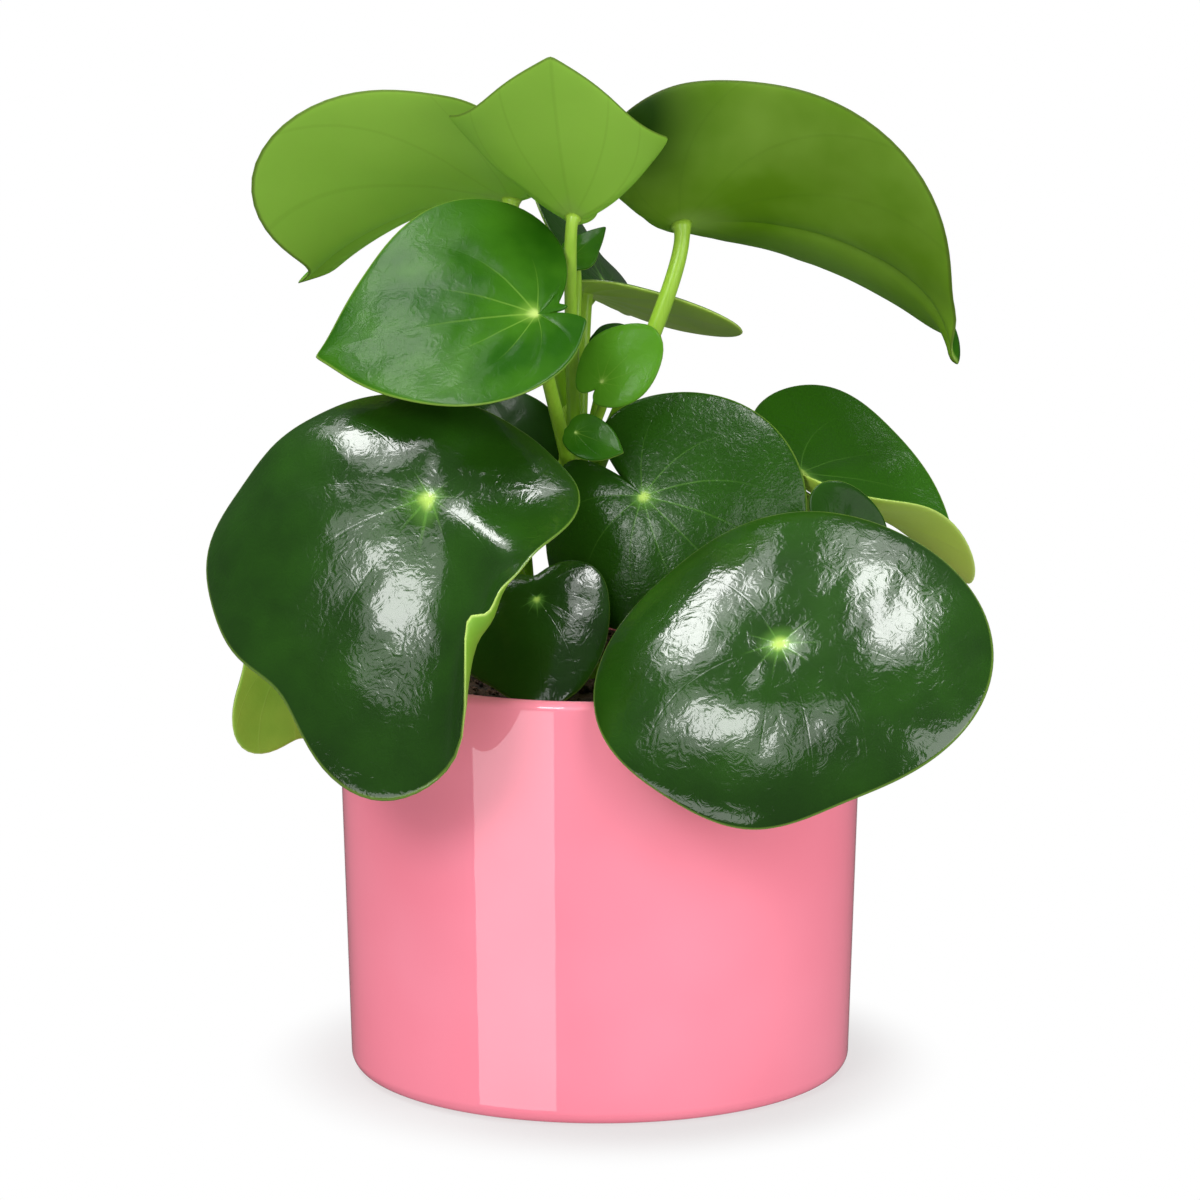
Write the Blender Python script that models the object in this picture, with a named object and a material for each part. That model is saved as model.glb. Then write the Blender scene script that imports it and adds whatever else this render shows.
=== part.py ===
"""Potted peperomia: a heart-leaved house plant in a round glazed pot.

Lengths below are millimetres and angles are degrees. The origin is the middle of
the pot's base, +Z is up, and the plant's front faces -Y.
"""

from math import cos, pi, radians, sin

import bmesh
import bpy
import numpy as np
from mathutils import Matrix, Vector

MM = 0.001
GAP = 0.3

# Pot
RIM_RADIUS = 70.0
BASE_RADIUS = 66.8
POT_HEIGHT = 113.3
WALL = 4.5
FLOOR = 6.0
LIP_RADIUS = 2.0
BASE_CORNER = 4.0
INNER_CORNER = 8.0
POT_SIDES = 56

# Soil
SOIL_TOP = 105.0
SOIL_SIDES = 40
SOIL_RINGS = 7
CLOD_HEIGHT = 1.3
SOIL_SEED = 5
HOLE_DEPTH = 24.0

# Leaves and stalks
BLADE_THICKNESS = 1.2
STALK_TOP_RADIUS = 1.7
STALK_FOOT_RADIUS = 2.3
STALK_BEVEL_STEPS = 2
STALK_PIECES = 7
SLOPE_STEPS = 24
RING_SHARES = (0.3, 0.62, 0.86, 1.0)
MARGIN_PIECE = 9.5

# Each blade is a heart or teardrop seen from its own stalk. `at` is the point over the
# stalk, `face` the way the upper side looks and `tip` the way the point of the leaf runs.
# `radii` are the distances from the stalk to the margin at equal angles, starting at the
# tip and going counter-clockwise as seen from above. `droop` is how steeply the blade
# falls at its margin, also at equal angles from the tip; below zero it cups upwards.
# `rise` is the slope out of the dimple over the stalk. `sinus` is the notch behind the
# stalk as (share of the radius, width), `points` are pinched corners as (length, width,
# angle) and `curls` roll stretches of the margin as (angle, width, bend).
LEAVES = {
    "leaf_upper_left": dict(
        at=(-23.5, 26, 230.4), face=(0.13, 0.36, 0.92), tip=(-0.93, 0.36, 0),
        radii=(56, 70, 47, 42, 36, 14, 9, 14, 16, 30, 41, 62),
        droop=(50, -47, -22, -70, -100, -82), rise=2, points=((10, 4, 0),)),
    "leaf_top": dict(
        at=(-6.9, -18, 231.5), face=(0.28, 0.74, 0.61), tip=(-0.17, -0.59, 0.79),
        radii=(45, 34, 25, 12, 12, 9, 7, 12, 14, 21, 32, 39),
        droop=(-20, -70, -140, -80, -140, -35), rise=2,
        points=((5, 8, 0), (9, 15, 60), (9, 15, -56))),
    "leaf_upper_right": dict(
        at=(21.4, 8, 226), face=(-0.2, 0.62, 0.76), tip=(0.96, 0.2, 0.1),
        radii=(79, 64, 36, 28, 22, 18, 17, 29, 38, 44, 51, 72),
        droop=(68, -66, -130, -74, -55, -28), rise=2, points=((16, 4, 0),),
        curls=((0, 4, 45),)),
    "leaf_middle_left": dict(
        at=(-16.3, -38, 208.9), face=(-0.05, -0.6, 0.8), tip=(-1, -0.05, -0.05),
        radii=(53, 44, 36, 26, 18, 14, 12, 7, 18, 37, 48, 50),
        droop=(20, 0, 0, 0, 5, 0), rise=5, sinus=(0.7, 9), points=((6, 7, 0),)),
    "leaf_middle_back": dict(
        at=(-3.2, 24, 205.5), face=(0.28, 0.31, 0.91), tip=(0.95, -0.25, -0.2),
        radii=(43, 34, 27, 20, 14, 8, 5, 6, 8, 11, 16, 27),
        droop=(0, 0, -20, -20, 0, -10), rise=2),
    "leaf_young_centre": dict(
        at=(0.5, -20, 188.2), face=(-0.3, -0.85, 0.45), tip=(0.7, 0.1, 0.7),
        radii=(20, 17, 14, 10, 8, 7, 6, 6, 7, 9, 12, 16),
        droop=(10, 20, 20, 10, 15, 15), rise=4, sinus=(0.6, 16)),
    "leaf_young_small": dict(
        at=(-6.5, -28, 176.2), face=(-0.05, -0.75, 0.7), tip=(0.9, -0.3, -0.3),
        radii=(12, 10, 8, 7, 5, 3, 3, 3, 4, 5, 7, 10),
        droop=(10, 10, 15, 10, 10, 15), rise=4, points=((2, 9, 0),)),
    "leaf_young_pointed": dict(
        at=(-6.9, 2, 218), face=(-0.2, -0.8, 0.55), tip=(0.62, 0.1, 0.75),
        radii=(9, 7, 6, 5, 4, 4, 3, 4, 4, 5, 6, 7),
        droop=(10, 15, 10, 5, 10, 15), rise=3, points=((3, 10, 0),)),
    "leaf_young_dark": dict(
        at=(1.9, -10, 196.6), face=(0, -0.8, 0.6), tip=(0.5, -0.2, 0.8),
        radii=(8, 7, 6, 5, 5, 4, 3, 4, 5, 5, 6, 7),
        droop=(15, 15, 10, 10, 10, 15), rise=3),
    "leaf_top_back": dict(
        at=(1, 58, 202), face=(0.72, -0.2, 0.66), tip=(-0.4, 0.6, 0.7),
        radii=(38, 26, 16, 13, 12, 9, 8, 10, 13, 18, 22, 20),
        droop=(0, 10, 10, 10, 10, 10), rise=3, points=((4, 7, 0),)),
    "leaf_front_left": dict(
        at=(-43.6, -58, 164.7), face=(-0.1, -0.87, 0.47), tip=(-0.17, -0.44, -0.88),
        radii=(80, 71, 56, 45, 39, 37, 38, 39, 37, 35, 32, 29,
               28, 31, 37, 41, 44, 50, 57, 66, 68, 67, 65, 75),
        droop=(25, -10, -40, 5, 40, 40, 15, 40, 35, 40, 40, 30), rise=8,
        curls=((26, 7, -130), (38, 13, -80)), shares=(0.3, 0.6, 0.8, 0.92, 1.0)),
    "leaf_front_right": dict(
        at=(45.7, -80, 130.8), face=(-0.1, -0.74, 0.67), tip=(-0.2, -0.65, -0.75),
        radii=(50, 46, 50, 55, 54, 48, 44, 42, 42, 47, 52, 50),
        droop=(45, 25, 25, 20, 30, 30), rise=10),
    "leaf_centre_right": dict(
        at=(11.2, -21, 158.1), face=(-0.1, -0.88, 0.47), tip=(0.7, -0.4, -0.6),
        radii=(42, 44, 42, 37, 31, 26, 22, 26, 29, 34, 36, 38),
        droop=(30, 15, 15, 15, 35, 30), rise=6, sinus=(0.7, 8)),
    "leaf_centre_front": dict(
        at=(-16.4, -36, 133.7), face=(-0.1, -0.75, 0.65), tip=(0.05, -0.65, -0.75),
        radii=(31, 26, 21, 19, 18, 13, 8, 11, 16, 18, 26, 27),
        droop=(15, 25, 15, 20, 30, 25), rise=6),
    "leaf_right_folded": dict(
        at=(53.1, 4, 159.6), face=(0.33, -0.3, 0.87), tip=(0.92, -0.07, -0.36),
        radii=(53, 39, 38, 39, 31, 18, 9, 12, 15, 18, 41, 51),
        droop=(25, -10, -20, -25, -15, -5, -15, -70, -65, -55, -50, -35), rise=2),
    "leaf_right_dark": dict(
        at=(63, -40, 151), face=(0.1, -0.95, 0.28), tip=(0.6, -0.1, -0.8),
        radii=(14, 13, 12, 12, 13, 15, 14, 8, 7, 8, 10, 12),
        droop=(10, 5, 5, 5, 5, 5), rise=4),
    "leaf_left_dark": dict(
        at=(-27, 10, 166.4), face=(0.2, -0.75, 0.63), tip=(-0.4, -0.4, -0.8),
        radii=(20, 20, 19, 19, 20, 20, 19, 19, 19, 19, 19, 20),
        droop=(25, 15, 15, 10, 15, 20), rise=4),
    "leaf_low_left": dict(
        at=(-82.3, -4, 114.9), face=(-0.35, 0.88, 0.3), tip=(0, 0.3, -0.95),
        radii=(26, 31, 18, 13, 10, 8, 5, 6, 7, 8, 9, 12),
        droop=(15, 15, 10, 10, 10, 10), rise=3, points=((7, 6, -8),)),
    "leaf_back_left": dict(
        at=(-48, 44, 148), face=(-0.45, 0.5, 0.74), tip=(-0.5, 0.65, -0.55),
        radii=(50, 43, 38, 36, 34, 28, 20, 28, 34, 36, 38, 43),
        droop=(30, 25, 20, 10, 20, 25), rise=6, sinus=(0.6, 13), points=((5, 7, 0),)),
    "leaf_back_right": dict(
        at=(46, 46, 142), face=(0.4, 0.55, 0.73), tip=(0.45, 0.7, -0.55),
        radii=(52, 45, 40, 38, 35, 29, 20, 29, 35, 38, 40, 45),
        droop=(30, 20, 25, 10, 25, 20), rise=6, sinus=(0.6, 13), points=((5, 7, 0),)),
    "leaf_back_centre": dict(
        at=(19, 57, 127), face=(0, 0.45, 0.89), tip=(-0.05, 0.85, -0.5),
        radii=(40, 33, 28, 25, 24, 20, 15, 20, 24, 25, 28, 33),
        droop=(30, 20, 15, 10, 15, 20), rise=5, sinus=(0.6, 13), points=((5, 7, 0),)),
    "leaf_back_upper": dict(
        at=(-30, 42, 190), face=(-0.2, 0.45, 0.87), tip=(-0.35, 0.85, -0.35),
        radii=(32, 27, 24, 22, 20, 17, 12, 17, 20, 22, 24, 27),
        droop=(30, 20, 15, 10, 15, 20), rise=5, sinus=(0.6, 13), points=((4, 7, 0),)),
}

# Three shoots stand in the soil. `foot` is where one enters it, `top` is its upper end,
# and each stalk leaves the shoot at a height and runs to the leaf of that name. The two
# numbers after the height say how much of its length the stalk keeps to the shoot's
# direction, and then to the direction square to the blade.
SHOOTS = {
    "stem_main": dict(
        foot=(-4, 2), top=(-8, 0, 180), radius=4.2,
        stalks={
            "leaf_upper_left": (168, 0.35, 0.25),
            "leaf_top": (154, 0.3, 0.08),
            "leaf_upper_right": (146, 0.12, 0.18),
            "leaf_middle_left": (150, 0.15, 0.3),
            "leaf_middle_back": (144, 0.05, 0.05),
            "leaf_young_centre": (150, 0.45, 0.3),
            "leaf_young_small": (162, 0.3, 0.3),
            "leaf_young_pointed": (176, 0.3, 0.3),
            "leaf_young_dark": (150, 0.2, 0.3),
            "leaf_top_back": (162, 0.3, 0.25),
        }),
    "stem_left": dict(
        foot=(-18, 4), top=(-19, 4, 120), radius=3.4,
        stalks={
            "leaf_front_left": (112, 0.4, 0.25),
            "leaf_left_dark": (112, 0.1, 0.25),
            "leaf_centre_front": (108, 0.15, 0.25),
            "leaf_low_left": (114, 0.3, 0.25),
            "leaf_back_left": (116, 0.3, 0.25),
            "leaf_back_upper": (116, 0.35, 0.3),
        }),
    "stem_right": dict(
        foot=(18, 0), top=(19, 0, 124), radius=3.6,
        stalks={
            "leaf_front_right": (109, 0.08, 0.25),
            "leaf_centre_right": (118, 0.3, 0.25),
            "leaf_right_folded": (118, 0.3, 0.25),
            "leaf_right_dark": (107, 0.05, 0.35),
            "leaf_back_right": (116, 0.3, 0.25),
            "leaf_back_centre": (112, 0.2, 0.25),
        }),
}

YOUNG_GREEN = (0.10, 0.33, 0.03)
OLD_GREEN = (0.02, 0.09, 0.015)
STALK_GREEN = (0.25, 0.42, 0.08)
GLAZE_PINK = (0.93, 0.28, 0.38)
SOIL_BROWN = (0.035, 0.02, 0.012)
YOUNG_LEAVES = ("leaf_upper_left", "leaf_top", "leaf_upper_right", "leaf_middle_left",
                "leaf_young_centre", "leaf_young_small", "leaf_young_pointed")


def clear_scene():
    for item in list(bpy.data.objects):
        bpy.data.objects.remove(item, do_unlink=True)


def plain_material(name, colour, roughness):
    """A Principled material of one colour."""
    material = bpy.data.materials.new(name)
    material.use_nodes = True
    shader = material.node_tree.nodes["Principled BSDF"]
    shader.inputs["Base Color"].default_value = (*colour, 1.0)
    shader.inputs["Roughness"].default_value = roughness
    shader.inputs["Metallic"].default_value = 0.0
    return material


def new_object(name, mesh, material, parent):
    """Links a mesh to the scene, smooth where its faces meet gently."""
    item = bpy.data.objects.new(name, mesh)
    bpy.context.scene.collection.objects.link(item)
    mesh.materials.clear()
    mesh.materials.append(material)
    mesh.shade_smooth()
    mesh.set_sharp_from_angle(angle=radians(40))
    item.parent = parent
    return item


def arc(centre, radius, start, end, steps):
    """Points (distance from the axis, height) of an arc, end points included."""
    angles = [radians(start + (end - start) * k / steps) for k in range(steps + 1)]
    return [(centre[0] + radius * cos(a), centre[1] + radius * sin(a)) for a in angles]


def turned_mesh(name, profile, sides):
    """Spins an open profile that starts and ends on the axis into a closed body."""
    shape = bmesh.new()
    points = [shape.verts.new((x * MM, 0, z * MM)) for x, z in profile]
    edges = [shape.edges.new(pair) for pair in zip(points, points[1:])]
    bmesh.ops.spin(shape, geom=points + edges, cent=(0, 0, 0), axis=(0, 0, 1),
                   angle=2 * pi, steps=sides, use_merge=True)
    bmesh.ops.remove_doubles(shape, verts=shape.verts, dist=0.00001)
    bmesh.ops.recalc_face_normals(shape, faces=shape.faces)
    mesh = bpy.data.meshes.new(name)
    shape.to_mesh(mesh)
    shape.free()
    return mesh


def make_pot(parent):
    """A slightly tapered cylinder with a rounded lip, a rounded foot and a flat base."""
    inner_rim = RIM_RADIUS - WALL
    inner_base = BASE_RADIUS - WALL
    lip_height = POT_HEIGHT - LIP_RADIUS
    profile = [(0, 0)]
    profile += arc((BASE_RADIUS - BASE_CORNER, BASE_CORNER), BASE_CORNER, -90, 0, 4)
    profile += arc((RIM_RADIUS - LIP_RADIUS, lip_height), LIP_RADIUS, 0, 90, 3)
    profile += arc((inner_rim + LIP_RADIUS, lip_height), LIP_RADIUS, 90, 180, 3)
    profile += arc((inner_base - INNER_CORNER, FLOOR + INNER_CORNER), INNER_CORNER, 0, -90, 3)
    profile.append((0, FLOOR))
    glaze = plain_material("pink_glaze", GLAZE_PINK, 0.12)
    return new_object("pot", turned_mesh("pot", profile, POT_SIDES), glaze, parent)


def inner_radius(height):
    """Radius of the pot's inside at a height above its rounded inner corner."""
    low = FLOOR + INNER_CORNER
    share = (height - low) / (POT_HEIGHT - LIP_RADIUS - low)
    return BASE_RADIUS + (RIM_RADIUS - BASE_RADIUS) * share - WALL


def make_soil(parent):
    """Soil filling the pot, cloddy on top, with a plain hole for each shoot."""
    bottom = FLOOR + INNER_CORNER
    clods = np.random.default_rng(SOIL_SEED)
    shape = bmesh.new()
    turn = 2 * pi / SOIL_SIDES
    side_gap = GAP + inner_radius(SOIL_TOP) * (1 - cos(pi / POT_SIDES))

    def ring(radius, height, jitter):
        verts = []
        for k in range(SOIL_SIDES):
            x = radius * cos(k * turn)
            y = radius * sin(k * turn)
            z = height + jitter * clods.uniform(-1, 1)
            verts.append(shape.verts.new((x * MM, y * MM, z * MM)))
        return verts

    outer_top = inner_radius(SOIL_TOP) - side_gap
    outer_low = inner_radius(bottom) - side_gap
    rings = [ring(outer_low, bottom, 0)]
    for k in range(SOIL_RINGS):
        share = 1 - k / SOIL_RINGS
        rings.append(ring(outer_top * share, SOIL_TOP, 0 if k == 0 else CLOD_HEIGHT))
    for low, high in zip(rings, rings[1:]):
        for k in range(SOIL_SIDES):
            n = (k + 1) % SOIL_SIDES
            shape.faces.new((low[k], low[n], high[n]))
            shape.faces.new((low[k], high[n], high[k]))
    for edge_ring, height in ((rings[0], bottom), (rings[-1], SOIL_TOP)):
        middle = shape.verts.new((0, 0, height * MM))
        for k in range(SOIL_SIDES):
            shape.faces.new((edge_ring[k], edge_ring[(k + 1) % SOIL_SIDES], middle))
    bmesh.ops.recalc_face_normals(shape, faces=shape.faces)
    mesh = bpy.data.meshes.new("soil")
    shape.to_mesh(mesh)
    shape.free()
    soil = new_object("soil", mesh, plain_material("soil", SOIL_BROWN, 0.95), parent)
    cutters = bpy.data.collections.new("soil_holes")
    for shoot in SHOOTS.values():
        drill = bmesh.new()
        radius = shoot["radius"] + GAP + 0.2
        depth = HOLE_DEPTH + 10
        middle_z = SOIL_TOP - HOLE_DEPTH + depth / 2
        place = Matrix.Translation(Vector((*shoot["foot"], middle_z)) * MM)
        bmesh.ops.create_cone(drill, cap_ends=True, segments=16, radius1=radius * MM,
                              radius2=radius * MM, depth=depth * MM, matrix=place)
        hole_mesh = bpy.data.meshes.new("soil_hole")
        drill.to_mesh(hole_mesh)
        drill.free()
        cutters.objects.link(bpy.data.objects.new("soil_hole", hole_mesh))
    boolean_collection(soil, cutters, "DIFFERENCE")
    return soil


def boolean_collection(item, operands, operation):
    """Applies one Boolean of a collection to an object and removes the collection's objects."""
    bpy.context.scene.collection.children.link(operands)
    modifier = item.modifiers.new("join", "BOOLEAN")
    modifier.operation = operation
    modifier.operand_type = "COLLECTION"
    modifier.collection = operands
    modifier.solver = "EXACT"
    bpy.context.view_layer.update()
    finished = item.evaluated_get(bpy.context.evaluated_depsgraph_get())
    mesh = bpy.data.meshes.new_from_object(finished)
    item.modifiers.clear()
    item.data = mesh
    for used in list(operands.objects):
        bpy.data.objects.remove(used, do_unlink=True)
    bpy.data.collections.remove(operands)


def round_curve(values, angles):
    """Smooth closed curve through values at equal angles, read at the given angles."""
    values = np.asarray(values, float)
    count = len(values)
    system = 4 * np.eye(count) + np.roll(np.eye(count), 1, 0) + np.roll(np.eye(count), -1, 0)
    bends = np.linalg.solve(system, 6 * (np.roll(values, -1) - 2 * values + np.roll(values, 1)))
    place = np.asarray(angles) / (2 * pi) * count
    first = np.floor(place).astype(int)
    share = place - first
    first %= count
    second = (first + 1) % count
    left = (1 - share) ** 3 - (1 - share)
    right = share ** 3 - share
    straight = (1 - share) * values[first] + share * values[second]
    return straight + left * bends[first] / 6 + right * bends[second] / 6


def turn_from(angles, centre):
    """Signed angle from a direction given in degrees."""
    return (np.asarray(angles) - radians(centre) + pi) % (2 * pi) - pi


def margin_radius(leaf, angles):
    """Distance from the stalk to the margin, with its notch and pinched corners."""
    radius = round_curve(leaf["radii"], angles)
    if "sinus" in leaf:
        depth, width = leaf["sinus"]
        radius = radius * (1 - depth * np.exp(-(turn_from(angles, 180) / radians(width)) ** 2))
    for length, width, centre in leaf.get("points", ()):
        away = np.abs(turn_from(angles, centre)) / radians(width)
        radius = radius + length * np.exp(0.1 - np.sqrt(away ** 2 + 0.01))
    return radius


def blade_points(leaf, shares, angles):
    """Middle surface of a blade in its own frame: X to the tip, Z up, stalk at the origin.

    Along each direction the slope starts at the dimple's rise, ends at the droop, and is
    summed up in short steps, so that the blade keeps its true length however it bends.
    """
    steps = (np.arange(SLOPE_STEPS) + 0.5) / SLOPE_STEPS
    slope = -radians(leaf["rise"]) * (1 - steps)[:, None] ** 2
    slope = slope + np.radians(round_curve(leaf["droop"], angles))[None] * steps[:, None]
    for centre, width, bend in leaf.get("curls", ()):
        near = np.exp(-(turn_from(angles, centre) / radians(width)) ** 2)
        slope = slope + radians(bend) * near[None] * steps[:, None] ** 5
    length = margin_radius(leaf, angles) / SLOPE_STEPS
    start = np.zeros((1, len(angles)))
    out = np.vstack([start, np.cumsum(np.cos(slope), 0) * length])
    down = np.vstack([start, np.cumsum(np.sin(slope), 0) * length])
    place = np.asarray(shares) * SLOPE_STEPS
    low = np.minimum(place.astype(int), SLOPE_STEPS - 1)
    share = (place - low)[:, None]
    out = out[low] * (1 - share) + out[low + 1] * share
    down = down[low] * (1 - share) + down[low + 1] * share
    return np.stack([out * np.cos(angles), out * np.sin(angles), -down], -1)


def blade_directions(leaf):
    """Directions of the mesh's spokes: equal steps along the margin, closer at its details."""
    fine = np.radians(np.arange(720) / 2)
    radius = margin_radius(leaf, fine)
    margin = np.stack([radius * np.cos(fine), radius * np.sin(fine)], -1)
    steps = np.linalg.norm(np.roll(margin, -1, 0) - margin, axis=1)
    run = np.concatenate([[0], np.cumsum(steps)])
    even = max(14, round(run[-1] / MARGIN_PIECE))
    features = [(centre, width) for length, width, centre in leaf.get("points", ())]
    if "sinus" in leaf:
        features.append((180, leaf["sinus"][1]))
    angles = []
    for centre, width in features:
        angles += [centre + width * part for part in (-2.2, -1, 0, 1, 2.2)]
    room = run[-1] / even * 0.5
    for k in range(even):
        angle = np.interp(run[-1] * k / even, run, np.arange(721) / 2)
        apart = [abs((angle - other + 180) % 360 - 180) for other in angles]
        if radians(min(apart, default=360)) * np.interp(angle, np.arange(720) / 2, radius) > room:
            angles.append(angle)
    return np.radians(sorted(angle % 360 for angle in angles))


def leaf_frame(leaf):
    """Rotation whose X runs to the leaf's tip and whose Z is the way its face looks."""
    z = Vector(leaf["face"]).normalized()
    tip = Vector(leaf["tip"])
    x = (tip - z * tip.dot(z)).normalized()
    return Matrix((x, z.cross(x), z)).transposed()


def make_leaf(name, leaf, material, parent):
    """One blade, of even thickness, with both faces split into triangles alike."""
    angles = blade_directions(leaf)
    count = len(angles)
    shares = leaf.get("shares", RING_SHARES)
    rings = blade_points(leaf, shares, angles)
    middle = np.vstack([np.zeros((1, 3)), rings.reshape(-1, 3)])
    faces = [(0, 1 + k, 1 + (k + 1) % count) for k in range(count)]
    for ring in range(len(shares) - 1):
        first = 1 + ring * count
        for k in range(count):
            n = (k + 1) % count
            faces.append((first + k, first + count + k, first + count + n))
            faces.append((first + k, first + count + n, first + n))
    corners = middle[np.array(faces)]
    normal = np.cross(corners[:, 1] - corners[:, 0], corners[:, 2] - corners[:, 0])
    smooth = np.zeros_like(middle)
    for corner in range(3):
        np.add.at(smooth, np.array(faces)[:, corner], normal)
    smooth /= np.linalg.norm(smooth, axis=1)[:, None]
    upper = middle + smooth * BLADE_THICKNESS / 2
    lower = middle - smooth * BLADE_THICKNESS / 2
    under = len(middle)
    edge = 1 + (len(shares) - 1) * count
    solid = faces + [(a + under, c + under, b + under) for a, b, c in faces]
    for k in range(count):
        here, there = edge + k, edge + (k + 1) % count
        solid.append((here, here + under, there + under))
        solid.append((here, there + under, there))
    mesh = bpy.data.meshes.new(name)
    mesh.from_pydata((np.vstack([upper, lower]) * MM).tolist(), [], solid)
    item = new_object(name, mesh, material, parent)
    item.location = Vector(leaf["at"]) * MM
    item.rotation_euler = leaf_frame(leaf).to_euler()
    return item


def tube_mesh(name, knots, radii):
    """Round stalk along a cubic curve from the first knot to the last, closed at its ends."""
    curve = bpy.data.curves.new(name, "CURVE")
    curve.dimensions = "3D"
    curve.resolution_u = STALK_PIECES
    curve.bevel_depth = MM
    curve.bevel_resolution = STALK_BEVEL_STEPS
    curve.use_fill_caps = True
    spline = curve.splines.new("BEZIER")
    spline.bezier_points.add(1)
    start, end = spline.bezier_points
    for point, place, handle, radius in (
            (start, knots[0], knots[1], radii[0]), (end, knots[3], knots[2], radii[1])):
        point.handle_left_type = "FREE"
        point.handle_right_type = "FREE"
        point.co = place * MM
        point.handle_left = (2 * place - handle) * MM if point == start else handle * MM
        point.handle_right = handle * MM if point == start else (2 * place - handle) * MM
        point.radius = radius
    guide = bpy.data.objects.new(name, curve)
    bpy.context.scene.collection.objects.link(guide)
    bpy.context.view_layer.update()
    finished = guide.evaluated_get(bpy.context.evaluated_depsgraph_get())
    mesh = bpy.data.meshes.new_from_object(finished)
    bpy.data.objects.remove(guide, do_unlink=True)
    closed = bmesh.new()
    closed.from_mesh(mesh)
    bmesh.ops.remove_doubles(closed, verts=closed.verts, dist=0.00001)
    bmesh.ops.recalc_face_normals(closed, faces=closed.faces)
    closed.to_mesh(mesh)
    closed.free()
    return mesh


def shoot_point(shoot, height):
    """Point on the shoot's straight axis at a height."""
    foot = Vector((*shoot["foot"], SOIL_TOP))
    top = Vector(shoot["top"])
    return foot + (top - foot) * ((height - SOIL_TOP) / (top.z - SOIL_TOP))


def stalk_knots(shoot, height, leaf, rise_share, end_share):
    """Four knots of a stalk: up the shoot first, and square into the blade at the end."""
    face = Vector(leaf["face"]).normalized()
    start = shoot_point(shoot, height)
    end = Vector(leaf["at"]) - face * (BLADE_THICKNESS / 2 + GAP)
    length = (end - start).length
    return (start, start + Vector((0, 0, length * rise_share)), end - face * length * end_share, end)


def make_shoot(name, shoot, material, parent):
    """A shoot and its leaf stalks, joined into one body."""
    low = shoot_point(shoot, SOIL_TOP - HOLE_DEPTH + 1)
    low.xy = Vector(shoot["foot"])
    top = Vector(shoot["top"])
    foot = Vector((*shoot["foot"], SOIL_TOP))
    knots = (low, low + Vector((0, 0, (top - low).length / 3)), top - (top - foot) / 3, top)
    trunk = tube_mesh(name, knots, (shoot["radius"], shoot["radius"] * 0.75))
    item = new_object(name, trunk, material, parent)
    stalks = bpy.data.collections.new(name + "_stalks")
    for leaf_name, (height, rise_share, end_share) in shoot["stalks"].items():
        leaf = LEAVES[leaf_name]
        size = 0.5 + max(leaf["radii"]) / 130  # a larger leaf has a thicker stalk
        knots = stalk_knots(shoot, height, leaf, rise_share, end_share)
        radii = (STALK_FOOT_RADIUS * size, STALK_TOP_RADIUS * size)
        mesh = tube_mesh(leaf_name + "_stalk", knots, radii)
        stalks.objects.link(bpy.data.objects.new(leaf_name + "_stalk", mesh))
    boolean_collection(item, stalks, "UNION")
    return item


def build():
    clear_scene()
    plant = bpy.data.objects.new("potted_peperomia", None)
    bpy.context.scene.collection.objects.link(plant)
    make_pot(plant)
    make_soil(plant)
    stalk_green = plain_material("green_stalk", STALK_GREEN, 0.35)
    for name, shoot in SHOOTS.items():
        make_shoot(name, shoot, stalk_green, plant)
    young = plain_material("young_leaf", YOUNG_GREEN, 0.3)
    old = plain_material("old_leaf", OLD_GREEN, 0.15)
    for name, leaf in LEAVES.items():
        make_leaf(name, leaf, young if name in YOUNG_LEAVES else old, plant)


build()
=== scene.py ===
"""Looks of a potted peperomia: glossy heart-shaped leaves in a round pink glazed pot.

The tables of leaves, shoots and veins are in millimetres and degrees, all else is in metres.
The origin is the middle of the pot's base, +Z is up and the plant's front faces -Y.
"""

from itertools import combinations
from math import cos, pi, radians, sin

import bpy
import numpy as np
from bpy.props import FloatProperty, FloatVectorProperty, IntProperty, PointerProperty
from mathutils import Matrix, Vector


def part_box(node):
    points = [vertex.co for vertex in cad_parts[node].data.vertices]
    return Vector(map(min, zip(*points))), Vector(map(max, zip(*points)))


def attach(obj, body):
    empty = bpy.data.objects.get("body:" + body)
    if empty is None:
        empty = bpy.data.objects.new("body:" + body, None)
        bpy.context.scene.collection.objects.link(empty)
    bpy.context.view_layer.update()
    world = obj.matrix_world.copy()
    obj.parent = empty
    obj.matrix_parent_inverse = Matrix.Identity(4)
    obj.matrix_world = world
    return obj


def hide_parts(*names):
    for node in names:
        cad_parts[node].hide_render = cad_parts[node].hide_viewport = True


bl_info = {
    "name": "Potted peperomia",
    "version": (1, 0, 0),
    "blender": (4, 5, 0),
    "location": "3D View > Sidebar > Peperomia",
    "description": "Builds the leaves, stalks, soil and glazed pot of a small house plant",
    "category": "Add Mesh",
}

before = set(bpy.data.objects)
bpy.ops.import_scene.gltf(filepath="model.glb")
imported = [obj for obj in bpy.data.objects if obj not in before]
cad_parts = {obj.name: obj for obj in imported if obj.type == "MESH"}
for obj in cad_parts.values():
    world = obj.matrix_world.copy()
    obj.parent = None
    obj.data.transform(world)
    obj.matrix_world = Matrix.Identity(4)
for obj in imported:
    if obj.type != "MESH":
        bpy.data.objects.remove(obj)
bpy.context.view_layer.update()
POT_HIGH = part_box("pot")[1]
SOIL_LOW, SOIL_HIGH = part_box("soil")
MM = 0.001

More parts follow.
